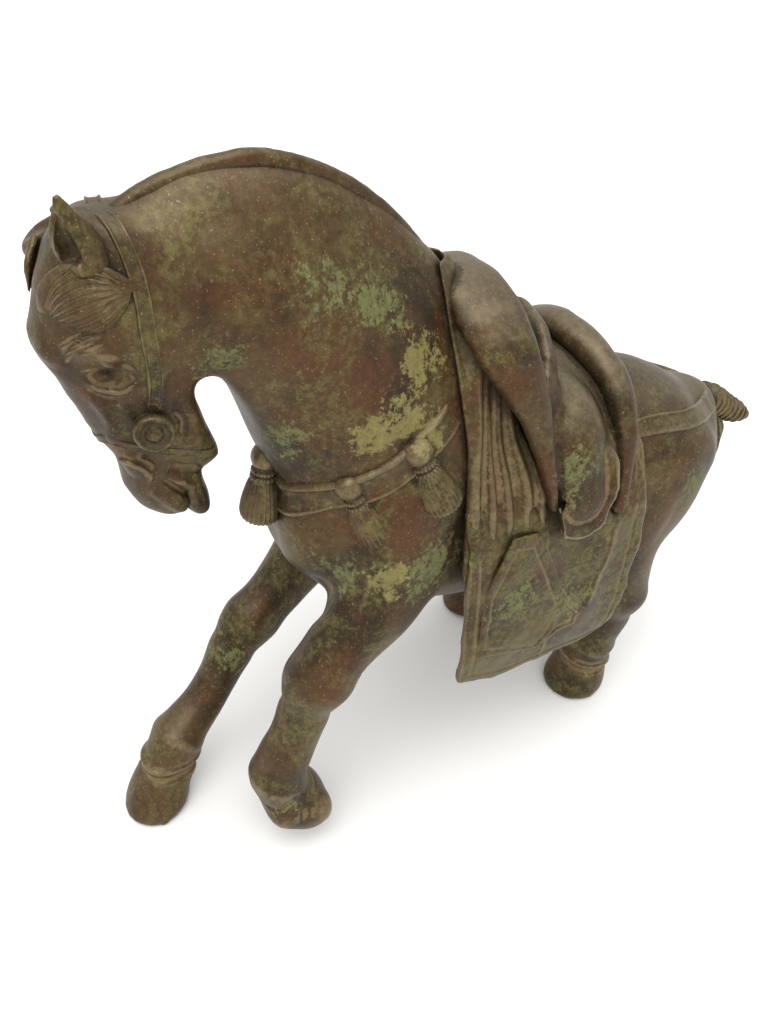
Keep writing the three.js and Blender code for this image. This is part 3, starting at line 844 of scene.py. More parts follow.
# %% Tail: bound dock and hair
dock = small_wax("tail_dock", voxel=0.45, rounds=5)
dock_line = smooth_path([(0, 144, 148), (0, 156, 147), (2, 167, 141), (5, 176, 136.5), (7, 182, 134)])
_, along_dock = off_line(dock.co, dock_line)
TURNS = 11
bindings = np.cos(along_dock * TURNS * 2 * math.pi) * ease((0.97 - along_dock) * 8)
dock.co += dock.normal * (0.55 * bindings)[:, None]
dock.refresh()
finish_piece(dock.mesh, "tail_dock_wax", ["tail_dock"], "bronze_skin")

tuft = small_wax("tail_tuft", voxel=0.45, rounds=5)
turn = np.arctan2(tuft.co[:, 1] - 159, tuft.co[:, 0] - 3)
LOCKS = 11
tuft.co += tuft.normal * (0.9 * np.sin(turn * LOCKS + tuft.co[:, 2] * 0.12))[:, None]
tuft.refresh()
finish_piece(tuft.mesh, "tail_tuft_wax", ["tail_tuft"], "bronze_skin")

# %% [markdown]
# ## The saddle
# The seat runs down on each side into a round flap, and two thick rolls stand before and behind it. The
# seat and the flaps are melted together with a few lumps that fill the seat's sides out to the flaps,
# and then cut apart on a level seam.

# %% Seat and flaps
SEAT_SEAM = 178
SKIRT = 7  # how far the saddle's side stands out over the blanket, in millimetres

SKIRT_EDGES = [  # front, rear, bottom and top, each a place and the way out
    ((0, 17, 0), (0, -1, 0)),
    ((0, 57, 0), (0, 1, 0)),
    ((0, 0, 174), (0, 0, -1)),
    ((0, 0, 216), (0, 0, 1)),
]


def skirt(name):
    """A slab copied from the blanket under the saddle, which joins the seat to its flap."""

    def add(bm):
        slab = bmesh.new()
        slab.from_mesh(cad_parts[name].data)
        bmesh.ops.remove_doubles(slab, verts=slab.verts, dist=1e-6)
        for point, normal in SKIRT_EDGES:
            geom = slab.verts[:] + slab.edges[:] + slab.faces[:]
            bmesh.ops.bisect_plane(slab, geom=geom, plane_co=at(*point), plane_no=normal, clear_outer=True)
            bmesh.ops.holes_fill(slab, edges=[e for e in slab.edges if e.is_boundary], sides=0)
        bmesh.ops.triangulate(slab, faces=slab.faces)
        slab.normal_update()
        for vert in slab.verts:
            vert.co += vert.normal * SKIRT * MM
        bm.from_mesh(to_mesh(slab, "skirt"))

    return add


def pommel_y(z):
    """Where the middle of the pommel stands at a height. The seat begins there."""
    return 25 - 0.25 * (z - 163)


seat = clay_of(
    "seat",
    ["saddle_seat", "saddle_flap_left", "saddle_flap_right"],
    voxel=0.8,
    swell=0.4,
    rounds=14,
    lumps=[
        skirt("blanket_left"),
        skirt("blanket_right"),
        ball((0, 10, 190), (34, 9, 36)),  # under the pommel
        ball((22, 38, 176), (30.5, 20, 30)),  # left side
        ball((-22, 38, 176), (30.5, 20, 30)),  # right side
        ball((0, 62, 180), (34, 7, 24)),  # under the cantle
    ],
)
seat.co[:, 1] = np.maximum(seat.co[:, 1], pommel_y(seat.co[:, 2]))
hammer(seat, 12, 0.4, 11)
seat.refresh()
FLAP_RIM = [(20, 184), (20.5, 166), (26.5, 154.5), (37, 151), (46.5, 154.5), (52, 166), (53, 184)]
FLAP_WELL = [(25, 190), (26, 168), (30.5, 160), (37, 158), (43, 160), (47, 168), (48, 190)]
for side in (1, -1):
    stroke(seat, side_view(FLAP_RIM), 1.5, 1.3, seen_from=(side, 0, 0), ends=0.1)
    stroke(seat, side_view(FLAP_WELL), 2.4, -1.2, seen_from=(side, 0, 0), ends=0.15)
seat.refresh()
seat_bm = bmesh.new()
seat_bm.from_mesh(seat.mesh)
saw(seat_bm, (0, 37, SEAT_SEAM), (0, 0, 1), 90)
centres = face_centres(seat_bm)
sawn = to_mesh(seat_bm, "sawn_seat")
low = centres[:, 2] < SEAT_SEAM
for node, wanted in (
    ("saddle_flap_left", low & (centres[:, 0] > 0)),
    ("saddle_flap_right", low & (centres[:, 0] < 0)),
    ("saddle_seat", ~low),
):
    part = keep_faces(sawn, wanted)
    cap(part)
    finish_piece(to_mesh(part, node), node + "_wax", [node], "bronze_saddle")


# %% Pommel and cantle
def pommel_shape(p):
    """The pommel is a broad roll on top and thins to a ridge along the front of the flap."""
    middle = float(pommel_y(p.z))
    p.y = middle + (p.y - middle) * (0.7 + 0.7 * float(ease((p.z - 175) / 60)))
    p.x *= 0.97
    return p


def cantle_shape(p):
    """The cantle is pressed in a little at its sides."""
    p.x *= 0.98
    return p


for node, reshape in (("saddle_pommel", pommel_shape), ("saddle_cantle", cantle_shape)):
    roll = clay_of(node, [node], voxel=0.6, swell=0.4, rounds=14, reshape=reshape)
    hammer(roll, 9, 0.5, 13)
    roll.refresh()
    finish_piece(roll.mesh, node + "_wax", [node], "bronze_saddle")

# %% [markdown]
# ## The cloths
# Under the saddle lies a gathered blanket, whose folds fan out before the pommel and behind the cantle.
# Over it hangs a stiff saddle cloth with a bordered edge, and on its front corner a bordered panel. In
# bronze they are thick and their edges are round. The folds and borders are strokes laid on from the
# side, so one drawing serves both sides of the horse.

# %% Blankets
FRONT_FOLDS = 5
REAR_FOLDS = 4
UNDER_POMMEL = [(17, 1, 236), (31, 4, 224), (41, 9, 206), (48, 14, 184), (50, 19, 165)]
for side, name in ((1, "left"), (-1, "right")):
    node = f"blanket_{name}"
    blanket = clay_of(node, [node], voxel=0.8, swell=0.3, rounds=10)
    sight = (side, -0.15, 0.45)

    def fold(path, width, height):
        stroke(blanket, [(side * x, y, z) for x, y, z in path], width, height, seen_from=sight, ends=0.06)

    for k in range(FRONT_FOLDS):
        top_y, foot_y = -2 + 2.4 * k, -9 + 7.4 * k
        rib = [(14, top_y, 238 - 3 * k), (34, top_y - 2 + 1.2 * k, 205), (46, foot_y, 172), (51, foot_y, 134)]
        fold(rib, 2.3, 1.9)
        fold([(x, y + 3.7, z) for x, y, z in rib], 1.5, -1.0)
    for k in range(REAR_FOLDS):
        rib = [(30, 68 + 1.5 * k, 198 - 3 * k), (46, 64 + 4 * k, 176 - k), (50, 62 + 5 * k, 128)]
        fold(rib, 1.9, 1.7)
        fold([(x, y + 2.9, z) for x, y, z in rib], 1.2, -0.9)
    fold(UNDER_POMMEL, 4.5, 3.0)
    blanket.refresh()
    finish_piece(blanket.mesh, node + "_wax", [node], "bronze_cloth")

# %% Saddle cloths and front panels
HEM = [(-12, 150), (-12, 83), (6, 75), (40, 74), (63, 69), (71, 75), (75, 103), (77, 150)]
HEM_INSET = [(-7, 152), (-7, 88), (8, 80.5), (40, 79.5), (60, 75.5), (66.5, 80), (69.5, 104), (70, 152)]
TONGUE = [
    (19, 152), (26, 134), (31, 122), (40, 108), (45, 102), (44, 96), (36, 95), (30, 91), (30, 83), (31, 74),
]
REAR_ROLL = [(60, 150), (57, 130), (52, 112), (49, 100)]
PANEL_INSET = [
    (-2.5, 103), (-1.5, 130), (8, 152), (16, 150), (25, 130), (33.5, 109), (30, 101), (24, 92.5), (-2.5, 103),
]
TUCKED = 4.2  # how far the cloth's top is tucked under the saddle
PANEL_SUNK = 1.1
for side, name in ((1, "left"), (-1, "right")):
    node = f"saddle_cloth_{name}"
    outside = (side, 0, 0)

    def feather(p):
        """The top of the cloth is tucked in under the saddle."""
        return p - Vector((side * TUCKED * float(ease((p.z - 146) / 24)), 0, 0))

    cloth = clay_of(node, [node], voxel=0.75, swell=0.25, rounds=5, reshape=feather)
    stroke(cloth, side_view(HEM), 2.2, 0.5, seen_from=outside, ends=0)
    stroke(cloth, side_view(HEM_INSET), 0.8, -0.7, seen_from=outside, ends=0.02, straight=True)
    stroke(cloth, side_view(TONGUE), 1.1, 0.8, seen_from=outside, ends=0.05, straight=True)
    stroke(cloth, side_view(REAR_ROLL), 1.8, 1.1, seen_from=outside, ends=0.2)
    for foot_y in (-4, 12, 52):
        drape = side_view([(foot_y + 3, 148), (foot_y, 118), (foot_y - 2, 84)])
        stroke(cloth, drape, 6, 0.9, seen_from=outside, ends=0.3)
    hammer(cloth, 14, 0.7, 17)
    cloth.refresh()
    finish_piece(cloth.mesh, node + "_wax", [node], "bronze_cloth")

    node = f"front_panel_{name}"

    def sunk(p):
        """The panel is let into the cloth behind it."""
        return p - Vector((side * PANEL_SUNK, 0, 0))

    panel = clay_of(node, [node], voxel=0.5, swell=0.2, rounds=4, reshape=sunk)
    stroke(panel, side_view(PANEL_INSET), 1.1, -0.5, seen_from=outside, ends=0, straight=True)
    hammer(panel, 9, 0.4, 23)
    panel.refresh()
    finish_piece(panel.mesh, node + "_wax", [node], "bronze_cloth")

# %% [markdown]
# ## The harness
# The straps are leather rolled at both edges, so each has two raised lines and a flat middle. They are
# made as thin ribbons. Each starts as a flat grid, and every point of it is dropped on to the form below,
# at its own place along and across the strap. The ribbon is then extruded down into the form to close it.
# Laying a strap on the finished form keeps it close to the skin everywhere, which bending one could not.

# %% Ribbons
body_tree = form_tree(casting)
COLUMNS = 13
ROLL_AT = 0.78  # the middle of the rolled edge, as a share of the half width
ROLL_WIDE = 0.16
EDGE_DROP = 1.6  # how far the outer edge falls away
BURIED = 1.6  # how deep the ribbon's underside lies in the form
END_SINK = 1.5
END_STEPS = 4


def ribbon(node, path, half, tree, lift=0.9, roll=0.7):
    """A strap of that half width, laid on a form along a path of bench points."""
    line = [at(*p) for p in smooth_path(path, 8)]
    last = len(line) - 1
    bm = bmesh.new()
    bmesh.ops.create_grid(bm, x_segments=last, y_segments=COLUMNS - 1, size=1)
    upward = bm.verts.layers.float_vector.new("upward")
    for vert in bm.verts:
        i = round((vert.co.x + 1) / 2 * last)
        share = vert.co.y
        run = line[min(i + 1, last)] - line[max(i - 1, 0)]
        _, up, _, _ = tree.find_nearest(line[i])
        across = run.cross(up).normalized() * half * MM
        ground, up, _, _ = tree.find_nearest(line[i] + across * share)
        end_sunk = END_SINK * (1 - float(ease(min(i, last - i) / END_STEPS)))
        rolled = roll * math.exp(-(((abs(share) - ROLL_AT) / ROLL_WIDE) ** 2))
        dropped = EDGE_DROP * max(0, abs(share) - 1 + ROLL_WIDE) / ROLL_WIDE
        vert.co = ground + up * (lift - end_sunk + rolled - dropped) * MM
        vert[upward] = up
    walls = bmesh.ops.extrude_face_region(bm, geom=bm.faces[:])
    for item in walls["geom"]:
        if isinstance(item, bmesh.types.BMVert):
            item.co -= item[upward] * (lift + BURIED) * MM
    bmesh.ops.recalc_face_normals(bm, faces=bm.faces)
    print(node, "open edges:", sum(e.is_boundary for e in bm.edges))
    mesh = with_modifier(to_mesh(bm, node), "SUBSURF", levels=1, render_levels=1)
    strip = Clay(mesh)
    hammer(strip, 7, 0.25, 29)
    strip.refresh()
    finish_piece(mesh, node + "_wax", [node], "bronze_harness")


print("ribbons are laid on", len(casting.co), "points of the body")

# %% Straps
BREAST = [
    (36, -10, 210), (36.5, -26, 201), (36.5, -40, 191.5), (31, -54, 184), (20, -66, 178), (9, -72, 173.5),
]
CRUPPER = [(41, 70, 181), (33, 90, 174), (30, 110, 168), (22, 128, 162), (10, 143, 155)]
CHEEK = [
    (0.5, -115.5, 286.5), (13, -113, 283), (18, -111.3, 272), (21, -111.3, 256), (20.7, -111, 244),
    (21, -111.7, 236),
    (19.7, -113.7, 228.5),
]
NOSE_HALF_PATH = [(7.5, -126.5, 216), (13, -119, 213.5), (15.6, -109, 212), (16.7, -99, 208), (11, -90, 205)]
for side, name in zip((0, 1), ("left", "right")):
    ribbon(f"crupper_strap_{name}", both(CRUPPER)[side], 5.0, body_tree, lift=1.2, roll=0.9)
    ribbon(f"cheek_strap_{name}", both(CHEEK)[side], 2.6, head_tree, lift=0.5, roll=0.8)
left_nose, right_nose = both(NOSE_HALF_PATH)
nose_round = [*right_nose[::-1], (0, -130, 213), *left_nose]
ribbon("noseband", nose_round, 1.8, body_tree, lift=0.5, roll=0.35)
left_breast, right_breast = both(BREAST)
ribbon("breast_strap", [*right_breast, *left_breast[::-1]], 6.0, body_tree, lift=1.5, roll=0.8)

# %% [markdown]
# ## Tassels and rosettes
# A tassel is a round knob, a wound collar and a fringe that flares. It is turned like a bead: a profile
# is spun round its own line, and the fringe's points are pushed in and out to make its cords.

# %% Tassels
TASSEL = [
    (0, 5.6), (1.6, 5.4), (3.2, 4.8), (4.6, 3.4), (5.3, 1.4), (5.2, -0.8), (4.4, -2.8), (3.6, -3.8),
    (4.5, -4.4), (4.9, -5.2), (4.5, -6.0), (3.8, -6.5), (4.7, -7.0), (5.1, -7.8), (4.7, -8.6),
    (4.9, -9.6), (5.6, -12), (6.3, -15), (6.9, -18), (7.3, -21), (7.4, -23.5), (6.9, -25.6), (5.4, -27),
    (2.6, -27.6), (0, -27.8),
]
TASSELS = {
    "tassel_centre": ((0, -71.5, 187), (0, -75, 161)),
    "tassel_left_front": ((27.5, -51.5, 186.5), (32.5, -40.5, 160)),
    "tassel_left_rear": ((35.5, -29.5, 199.5), (40.3, -18, 172)),
    "tassel_right_front": ((-27.5, -51.5, 186.5), (-32.5, -40.5, 160)),
    "tassel_right_rear": ((-35.5, -29.5, 199.5), (-40.3, -18, 172)),
}
CORDS = 13
CORD_DEPTH = 0.085  # as a share of the radius
BINDING = 20
BINDING_DEPTH = 0.03
COLLAR_TOP, FRINGE_TOP = -4.0, -8.8
SPIN_STEPS = 78


def spun(profile, steps):
    """A closed shape spun from a profile of radius and height in millimetres, round the Z axis."""
    bm = bmesh.new()
    ring_verts = [bm.verts.new((radius * MM, 0, height * MM)) for radius, height in profile]
    edges = [bm.edges.new(pair) for pair in zip(ring_verts, ring_verts[1:])]
    bmesh.ops.spin(
        bm, geom=ring_verts + edges, cent=(0, 0, 0), axis=(0, 0, 1), angle=2 * math.pi, steps=steps,
        use_merge=True,
    )
    bmesh.ops.remove_doubles(bm, verts=bm.verts, dist=1e-6)
    bmesh.ops.recalc_face_normals(bm, faces=bm.faces)
    return bm


for name, (knob, tip) in TASSELS.items():
    tassel = spun(smooth_path(TASSEL, 2), SPIN_STEPS)
    for vert in tassel.verts:
        height = vert.co.z / MM
        turned_by = math.atan2(vert.co.y, vert.co.x)
        low = float(ease((FRINGE_TOP - height) / 2))
        cord = 2 * abs(math.cos(turned_by * CORDS)) - 1
        collar = math.cos(turned_by * BINDING) * float(ease(COLLAR_TOP - height)) * (1 - low)
        scale = 1 + CORD_DEPTH * low * cord + BINDING_DEPTH * collar
        vert.co.x *= scale
        vert.co.y *= scale
    up = Vector(knob) - Vector(tip)
    turned = Vector((0, 0, 1)).rotation_difference(up).to_matrix().to_4x4()
    bmesh.ops.transform(tassel, matrix=Matrix.Translation(at(*knob)) @ turned, verts=tassel.verts)
    finish_piece(to_mesh(tassel, name), name + "_wax", [name], "bronze_harness")

# %% Bit rosettes
ROSETTE = [
    (0, 1.6), (1.2, 1.5), (2.2, 1.0), (2.9, 0.3), (3.5, 0.1), (4.1, 0.5), (4.7, 1.1), (5.4, 1.2), (6.0, 0.7),
    (6.3, -0.2), (6.2, -1.4), (5.6, -5), (0, -5),
]
for side, name in ((1, "left"), (-1, "right")):
    rosette = spun(smooth_path(ROSETTE, 3), 48)
    lean = Vector((0, 0, 1)).rotation_difference(Vector((side, -0.25, 0.05))).to_matrix().to_4x4()
    place = Matrix.Translation(at(19.2 * side, -113.5, 223)) @ lean
    bmesh.ops.transform(rosette, matrix=place, verts=rosette.verts)
    finish_piece(to_mesh(rosette, name), f"bit_rosette_{name}_wax", [f"bit_rosette_{name}"], "bronze_harness")

# %% [markdown]
# ## Reading the surface for the patina
# Patina isn't even. Dust stays in hollows and where one piece meets another, and hands rub the high
# edges bare. Where parts crowd close, painted shade darkens the colour as well. Those are facts about
# the shape, so they are measured once for every point and kept as attributes. Patches of green and red
# are listed as centres and radii.

# %% Patches
PATCHES = {
    "lime": [
        ((30, -34, 214), 15), ((24, -24, 228), 13), ((33, -45, 209), 11), ((36, -26, 205), 9),
        ((12, -68, 200), 8), ((20, -56, 206), 9), ((43, -44, 150), 12), ((-20, -70, 150), 12),
        ((-30, -30, 220), 16), ((-26, 40, 100), 14),
    ],
    "green": [
        ((26, -58, 262), 12), ((20, -40, 250), 14), ((17, -72, 207), 12), ((42, -26, 148), 18),
        ((30, -58, 148), 14), ((55, 8, 125), 14), ((54, 40, 110), 16), ((52, 32, 178), 14),
        ((34, -86, 40), 16), ((30, 88, 24), 14), ((15, -66, 236), 12), ((-30, -60, 240), 18),
        ((-20, 90, 170), 16), ((-56, 20, 120), 20), ((-45, 90, 60), 16), ((-20, -90, 70), 14),
        ((36, 110, 140), 14), ((20, -92, 246), 10),
    ],
    "rust": [
        ((26, -60, 244), 15), ((28, -50, 226), 16), ((20, -76, 262), 12), ((30, -42, 176), 14),
        ((45, -64, 118), 8), ((48, 12, 176), 18), ((50, 62, 160), 14), ((-30, -50, 226), 20),
        ((20, -60, 215), 14), ((44, -36, 168), 14), ((-25, 60, 100), 20), ((36, 0, 214), 14),
    ],
}
print("patches:", {name: len(places) for name, places in PATCHES.items()})


# %% Hollows, edges and rims
def keep_attribute(mesh, name, values):
    """Stores a value between 0 and 1 on every point."""
    layer = mesh.attributes.new(name, "FLOAT", "POINT")
    layer.data.foreach_set("value", np.clip(values, 0, 1).astype(np.float32))


CAP_CORNERS = 8  # only the flat face that closes a cut has more corners than this


def mend_rim(clay):
    """On the rim of a cut, takes the normal of the skin beside it and not of the flat cap."""
    rim = np.zeros(len(clay.co), bool)
    for face in clay.mesh.polygons:
        if len(face.vertices) > CAP_CORNERS:
            rim[list(face.vertices)] = True
    if not rim.any():
        return
    clay.normal[rim] = 0
    for _ in range(2):
        clay.normal[rim] = clay.around(clay.normal)[rim]
    clay.normal[rim] /= np.maximum(np.linalg.norm(clay.normal[rim], axis=1), 1e-9)[:, None]
    clay.rim = rim


def relief(clay, rounds):
    """How far each point lies below (+) or above (-) its softened neighbourhood, in millimetres."""
    blurred = clay.co
    for _ in range(rounds):
        blurred = clay.around(blurred)
    depth = ((blurred - clay.co) * clay.normal).sum(axis=1)
    if clay.rim is not None:
        beside = clay.around(np.stack([depth * ~clay.rim, 1.0 * ~clay.rim], axis=1))
        depth[clay.rim] = (beside[:, 0] / np.maximum(beside[:, 1], 0.1))[clay.rim]
    return depth


print("relief reads hollows and edges from the points themselves")

# %% Crowding grid
CELL = 1.5  # millimetres across a cell
MARGIN = 12
grid_low, grid_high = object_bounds()
corner_low = np.array((grid_low - BENCH) / MM) - MARGIN
corner_high = np.array((grid_high - BENCH) / MM) + MARGIN
cells = np.ceil((corner_high - corner_low) / CELL).astype(int)


def cell_of(points):
    """The flat index of the grid cell that holds each point."""
    index = np.clip(((points - corner_low) / CELL).astype(int), 0, cells - 1)
    return (index[:, 0] * cells[1] + index[:, 1]) * cells[2] + index[:, 2]


def blurred_grid(grid, passes):
    """A grid averaged with its neighbours along each axis in turn."""
    for _ in range(passes):
        for axis in range(3):
            grid = (grid + np.roll(grid, 1, axis) + np.roll(grid, -1, axis)) / 3
    return grid


surfaces = {name: Clay(piece.data) for name, piece in pieces.items()}
crowd = np.zeros(cells.prod())
for surface in surfaces.values():
    ends = surface.co[surface.pairs]
    share = float(np.mean(np.sum((ends[:, 0] - ends[:, 1]) ** 2, axis=1)))
    filled = cell_of(surface.co)
    crowd += np.bincount(filled, minlength=len(crowd)) * share
crowd = crowd.reshape(cells)
crowd_near = blurred_grid(crowd, 2).ravel()
crowd_far = blurred_grid(crowd, 5).ravel()
print("crowding grid of", cells, "cells")

# %% Write the measures
FULL = 0.55  # crowding that counts as wholly sheltered
NEAR_REACH, FAR_REACH = 3.6, 8

for name, piece in pieces.items():
    surface = surfaces[name]
    mend_rim(surface)
    fine = relief(surface, 3)
    broad = relief(surface, 16)
    keep_attribute(piece.data, "hollow", fine / 0.16 + broad / 1.2 - 0.05)
    keep_attribute(piece.data, "edge", -fine / 0.2 - broad / 1.4 - 0.2)
    keep_attribute(piece.data, "top", surface.normal[:, 2])
    near = crowd_near[cell_of(surface.co + NEAR_REACH * surface.normal)]
    far = crowd_far[cell_of(surface.co + FAR_REACH * surface.normal)]
    # How crowded the space just outside each point is. It draws dust in, and the same measure is painted as
    # dark shade where parts crowd close.
    keep_attribute(piece.data, "shelter", 0.6 * (near + far) / FULL)
    for patch_name, places in PATCHES.items():
        amount = np.zeros(len(surface.co))
        for centre, radius in places:
            gone = np.linalg.norm(surface.co - np.array(centre, float), axis=1) / (1.3 * radius)
            amount = np.maximum(amount, ease(1.15 - gone))
        keep_attribute(piece.data, patch_name, amount)
    print(name, "shelter", round(float(near.mean()), 3), round(float(far.mean()), 3))
print("measured", len(pieces), "pieces")

# %% [markdown]
# ## Patina
# One node group makes the weathered bronze for every finish. It starts from bare brown metal, clouds it
# with darker and redder tones, lays green salts in torn patches, fills hollows with tan dust, rubs the
# edges and sprinkles pale specks. The materials only choose how much of each.


# %% Node helpers
class Graph:
    """A short way to add and wire nodes."""

    def __init__(self, tree):
        self.tree = tree

    def feed(self, socket, value):
        if isinstance(value, bpy.types.NodeSocket):
            self.tree.links.new(value, socket)
        else:
            socket.default_value = value

    def math(self, operation, a, b=0.0, clamp=False):
        node = self.tree.nodes.new("ShaderNodeMath")
        node.operation = operation
        node.use_clamp = clamp
        self.feed(node.inputs[0], a)
        self.feed(node.inputs[1], b)
        return node.outputs[0]

    def scaled(self, value, factor):
        return self.math("MULTIPLY", value, factor)

    def step(self, value, low, high):
        """A smooth mask that rises from 0 to 1 between low and high."""
        node = self.tree.nodes.new("ShaderNodeMapRange")
        node.interpolation_type = "SMOOTHSTEP"
        for name, v in (("Value", value), ("From Min", low), ("From Max", high)):
            self.feed(node.inputs[name], v)
        return node.outputs["Result"]

    def noise(self, vector, scale, detail=4.0, rough=0.55, distortion=0.0):
        node = self.tree.nodes.new("ShaderNodeTexNoise")
        self.feed(node.inputs["Vector"], vector)
        node.inputs["Scale"].default_value = scale
        node.inputs["Detail"].default_value = detail
        node.inputs["Roughness"].default_value = rough
        node.inputs["Distortion"].default_value = distortion
        return node.outputs["Fac"]

    def mix(self, factor, a, b):
        node = self.tree.nodes.new("ShaderNodeMix")
        node.data_type = "RGBA"
        self.feed(node.inputs[0], factor)
        self.feed(node.inputs[6], a)
        self.feed(node.inputs[7], b)
        return node.outputs[2]


print("node helpers:", [name for name in vars(Graph) if not name.startswith("_")])

# %% [markdown]
# The patina is laid on in the order in which it grows. First comes the metal, in brown, dark and red.
# Then come the salts, which are masked by noise so that their edges are torn. Dust, painted shade and
# rubbing come last. Each layer is a function that takes the colour so far and gives the new one.

# %% Layers of the patina
DARK_BROWN = (0.036, 0.022, 0.010, 1)
RUST_RED = (0.088, 0.036, 0.015, 1)
OLIVE = (0.115, 0.098, 0.032, 1)
GREY_BLOOM = (0.165, 0.132, 0.082, 1)
GREEN_SALT = (0.125, 0.135, 0.047, 1)
TEAL_SALT = (0.09, 0.14, 0.075, 1)
LIME_SALT = (0.20, 0.172, 0.055, 1)
TAN_DUST = (0.205, 0.145, 0.068, 1)
# A near-black brown that is painted shade, laid where parts crowd close.
SOOT = (0.022, 0.015, 0.008, 1)
RUBBED_METAL = (0.26, 0.195, 0.105, 1)
PALE_SPECK = (0.34, 0.29, 0.155, 1)


def metal_layer(g, given, field):
    """Brown bronze, clouded dark, red and olive, and greyer where it faces up."""
    color = g.mix(g.step(field["clouds"], 0.38, 0.62), DARK_BROWN, given["Bronze"])
    rusty = g.step(g.math("ADD", field["blotches"], g.scaled(given["rust"], 0.2)), 0.5, 0.64)
    color = g.mix(g.scaled(rusty, 0.75), color, RUST_RED)
    olive_field = g.math("ADD", field["olive"], g.scaled(given["Green"], 0.1))
    speckled = g.step(field["grain"], 0.44, 0.56)
    olive = g.math("MULTIPLY", g.step(olive_field, 0.5, 0.66), g.math("ADD", g.scaled(speckled, 0.6), 0.25))
    color = g.mix(olive, color, OLIVE)
    upward = g.step(g.math("ADD", given["top"], g.scaled(field["clouds"], 0.7)), 0.85, 1.35)
    greyed = g.math("MULTIPLY", upward, g.math("ADD", given["Grey"], 0.25))
    return g.mix(greyed, color, GREY_BLOOM)


def salt_layer(g, given, field, color):
    """Green, teal and yellow-green salts in torn patches. It also gives the two thick masks."""
    torn = g.math("ADD", g.scaled(field["grain"], 0.8), g.scaled(field["blotches"], 0.9))
    torn = g.math("ADD", torn, g.scaled(field["speck"], 0.25))
    green_at = g.step(g.math("ADD", torn, g.scaled(given["green"], 0.28)), 1.16, 1.27)
    color = g.mix(g.scaled(green_at, 0.8), color, GREEN_SALT)
    teal_at = g.step(g.math("ADD", field["teal"], g.scaled(given["green"], 0.10)), 0.66, 0.72)
    color = g.mix(g.scaled(teal_at, 0.4), color, TEAL_SALT)
    lime_at = g.step(g.math("ADD", torn, g.scaled(given["lime"], 0.38)), 1.21, 1.32)
    return g.mix(g.scaled(lime_at, 0.85), color, LIME_SALT), green_at, lime_at


def wear_layer(g, given, field, color):
    """Dust in hollows, painted shade where parts crowd close, rubbed edges and specks. It also gives two
    masks.
    """
    settled = g.math("ADD", given["hollow"], g.scaled(given["shelter"], 0.45))
    dusty = g.step(g.math("ADD", settled, g.scaled(field["grain"], 0.6)), 0.55, 1.25)
    dusty = g.math("MULTIPLY", dusty, given["Dust"])
    color = g.mix(g.scaled(dusty, 0.75), color, TAN_DUST)
    # Painted shade: the colour is darkened towards near-black where parts crowd close.
    color = g.mix(g.scaled(g.step(given["shelter"], 0.45, 1.0), 0.65), color, SOOT)
    rubbed = g.step(g.math("ADD", given["edge"], g.scaled(field["blotches"], 0.5)), 0.62, 1.2)
    rubbed = g.math("MULTIPLY", rubbed, given["Wear"])
    color = g.mix(g.scaled(rubbed, 0.8), color, RUBBED_METAL)
    color = g.mix(g.scaled(g.step(field["speck"], 0.63, 0.70), 0.55), color, PALE_SPECK)
    return color, dusty, rubbed


# The last layer holds the wear and the painted shade.
print("patina layers: metal, salt, wear")

# %% The patina group
MEASURES = ["hollow", "edge", "shelter", "top", "lime", "green", "rust"]
AMOUNTS = ["Green", "Dust", "Wear", "Grey"]


def build_patina():
    """The weathered bronze: its inputs are the measures, the amounts and the colours."""
    group = bpy.data.node_groups.new("patina", "ShaderNodeTree")
    made = group.interface
    made.new_socket("Vector", in_out="INPUT", socket_type="NodeSocketVector")
    for name in MEASURES + AMOUNTS:
        made.new_socket(name, in_out="INPUT", socket_type="NodeSocketFloat")
    made.new_socket("Bronze", in_out="INPUT", socket_type="NodeSocketColor")
    made.new_socket("Color", in_out="OUTPUT", socket_type="NodeSocketColor")
    for name in ("Roughness", "Metallic", "Height"):
        made.new_socket(name, in_out="OUTPUT", socket_type="NodeSocketFloat")
    g = Graph(group)
    given = group.nodes.new("NodeGroupInput").outputs
    place = given["Vector"]
    field = {
        "clouds": g.noise(place, 26, 6, 0.62, 0.5),
        "olive": g.noise(place, 44, 7, 0.72, 0.6),
        "blotches": g.noise(place, 70, 7, 0.68, 0.8),
        "teal": g.noise(place, 150, 6, 0.75, 1.0),
        "grain": g.noise(place, 380, 6, 0.75),
        "speck": g.noise(place, 1200, 3, 0.6),
    }
    color = metal_layer(g, given, field)
    color, green_at, lime_at = salt_layer(g, given, field, color)
    color, dusty, rubbed = wear_layer(g, given, field, color)
    shade = group.nodes.new("ShaderNodeVectorMath")
    shade.operation = "SCALE"
    g.feed(shade.inputs[0], color)
    g.feed(shade.inputs["Scale"], g.math("ADD", g.scaled(field["grain"], 1.5), 0.2))

    earthy = g.math("MAXIMUM", g.math("MAXIMUM", green_at, lime_at), dusty, clamp=True)
    rough = g.math("ADD", g.scaled(earthy, 0.22), g.scaled(field["grain"], 0.25))
    rough = g.math("ADD", rough, g.scaled(rubbed, -0.12))
    height = g.math("ADD", g.scaled(field["grain"], 0.5), g.scaled(field["speck"], 0.2))
    height = g.math("ADD", height, g.scaled(green_at, 0.25))
    height = g.math("ADD", height, g.scaled(lime_at, 0.35))
    given_out = group.nodes.new("NodeGroupOutput").inputs
    g.feed(given_out["Color"], shade.outputs[0])
    g.feed(given_out["Roughness"], g.math("ADD", rough, 0.32, clamp=True))
    g.feed(given_out["Metallic"], g.scaled(g.math("SUBTRACT", 1.0, earthy), 0.45))
    g.feed(given_out["Height"], height)
    return group


PATINA = build_patina()
print("patina group of", len(PATINA.nodes), "nodes")

# %% [markdown]
# ## The five finishes
# The skin, the legs, the saddle, the cloths and the harness are all the same bronze, but they weathered
# differently. The cloths hold the most green and dust, and the saddle is the greyest and most rubbed.


# %% Finishes
BUMP_DEPTH = 0.4  # millimetres


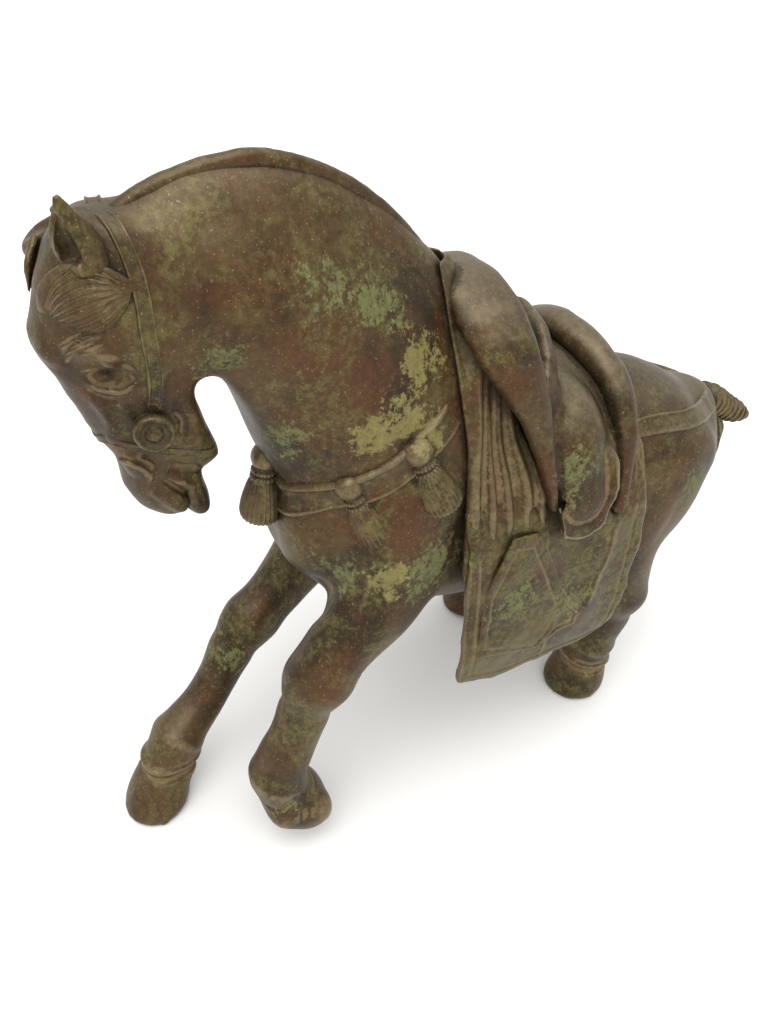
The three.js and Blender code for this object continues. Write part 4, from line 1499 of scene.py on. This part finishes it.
def weathered(name, bronze, green=1.0, dust=0.8, wear=0.6, grey=0.2, bump=0.35):
    """A material that wears the patina with its own colour and amounts."""
    material = bpy.data.materials.new(name)
    material.use_nodes = True
    tree = material.node_tree
    g = Graph(tree)
    shader = tree.nodes["Principled BSDF"]
    skin = tree.nodes.new("ShaderNodeGroup")
    skin.node_tree = PATINA
    g.feed(skin.inputs["Vector"], tree.nodes.new("ShaderNodeTexCoord").outputs["Object"])
    for measure in MEASURES:
        reader = tree.nodes.new("ShaderNodeAttribute")
        reader.attribute_name = measure
        g.feed(skin.inputs[measure], reader.outputs["Fac"])
    for amount, value in zip(AMOUNTS, (green, dust, wear, grey)):
        skin.inputs[amount].default_value = value
    skin.inputs["Bronze"].default_value = (*bronze, 1)
    g.feed(shader.inputs["Base Color"], skin.outputs["Color"])
    g.feed(shader.inputs["Roughness"], skin.outputs["Roughness"])
    g.feed(shader.inputs["Metallic"], skin.outputs["Metallic"])
    shader.inputs["Specular IOR Level"].default_value = 0.3
    rise = tree.nodes.new("ShaderNodeBump")
    rise.inputs["Strength"].default_value = bump
    rise.inputs["Distance"].default_value = BUMP_DEPTH * MM
    g.feed(rise.inputs["Height"], skin.outputs["Height"])
    g.feed(shader.inputs["Normal"], rise.outputs["Normal"])
    return material


SKIN_BROWN = (0.098, 0.058, 0.023)
SADDLE_BROWN = (0.088, 0.058, 0.028)
CLOTH_BROWN = (0.115, 0.084, 0.038)
HARNESS_BROWN = (0.088, 0.06, 0.027)
FINISHES = {
    "bronze_skin": weathered("weathered_skin", SKIN_BROWN, green=0.5),
    "bronze_legs": weathered("weathered_legs", SKIN_BROWN, green=0.5, grey=0.2),
    "bronze_saddle": weathered("weathered_saddle", SADDLE_BROWN, green=0.3, dust=0.8, wear=0.8, grey=0.7),
    "bronze_cloth": weathered("weathered_cloth", CLOTH_BROWN, green=1.2, dust=0.9, wear=0.45, grey=0.4),
    "bronze_harness": weathered("weathered_harness", HARNESS_BROWN, green=0.8, dust=0.7, wear=0.45, grey=0.2),
}
for piece in pieces.values():
    piece.data.materials.clear()
    piece.data.materials.append(FINISHES[piece["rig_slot"]])
print("finishes:", list(FINISHES))

# %% Size
low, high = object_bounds()
print("visual box", [round(v, 3) for v in high - low])
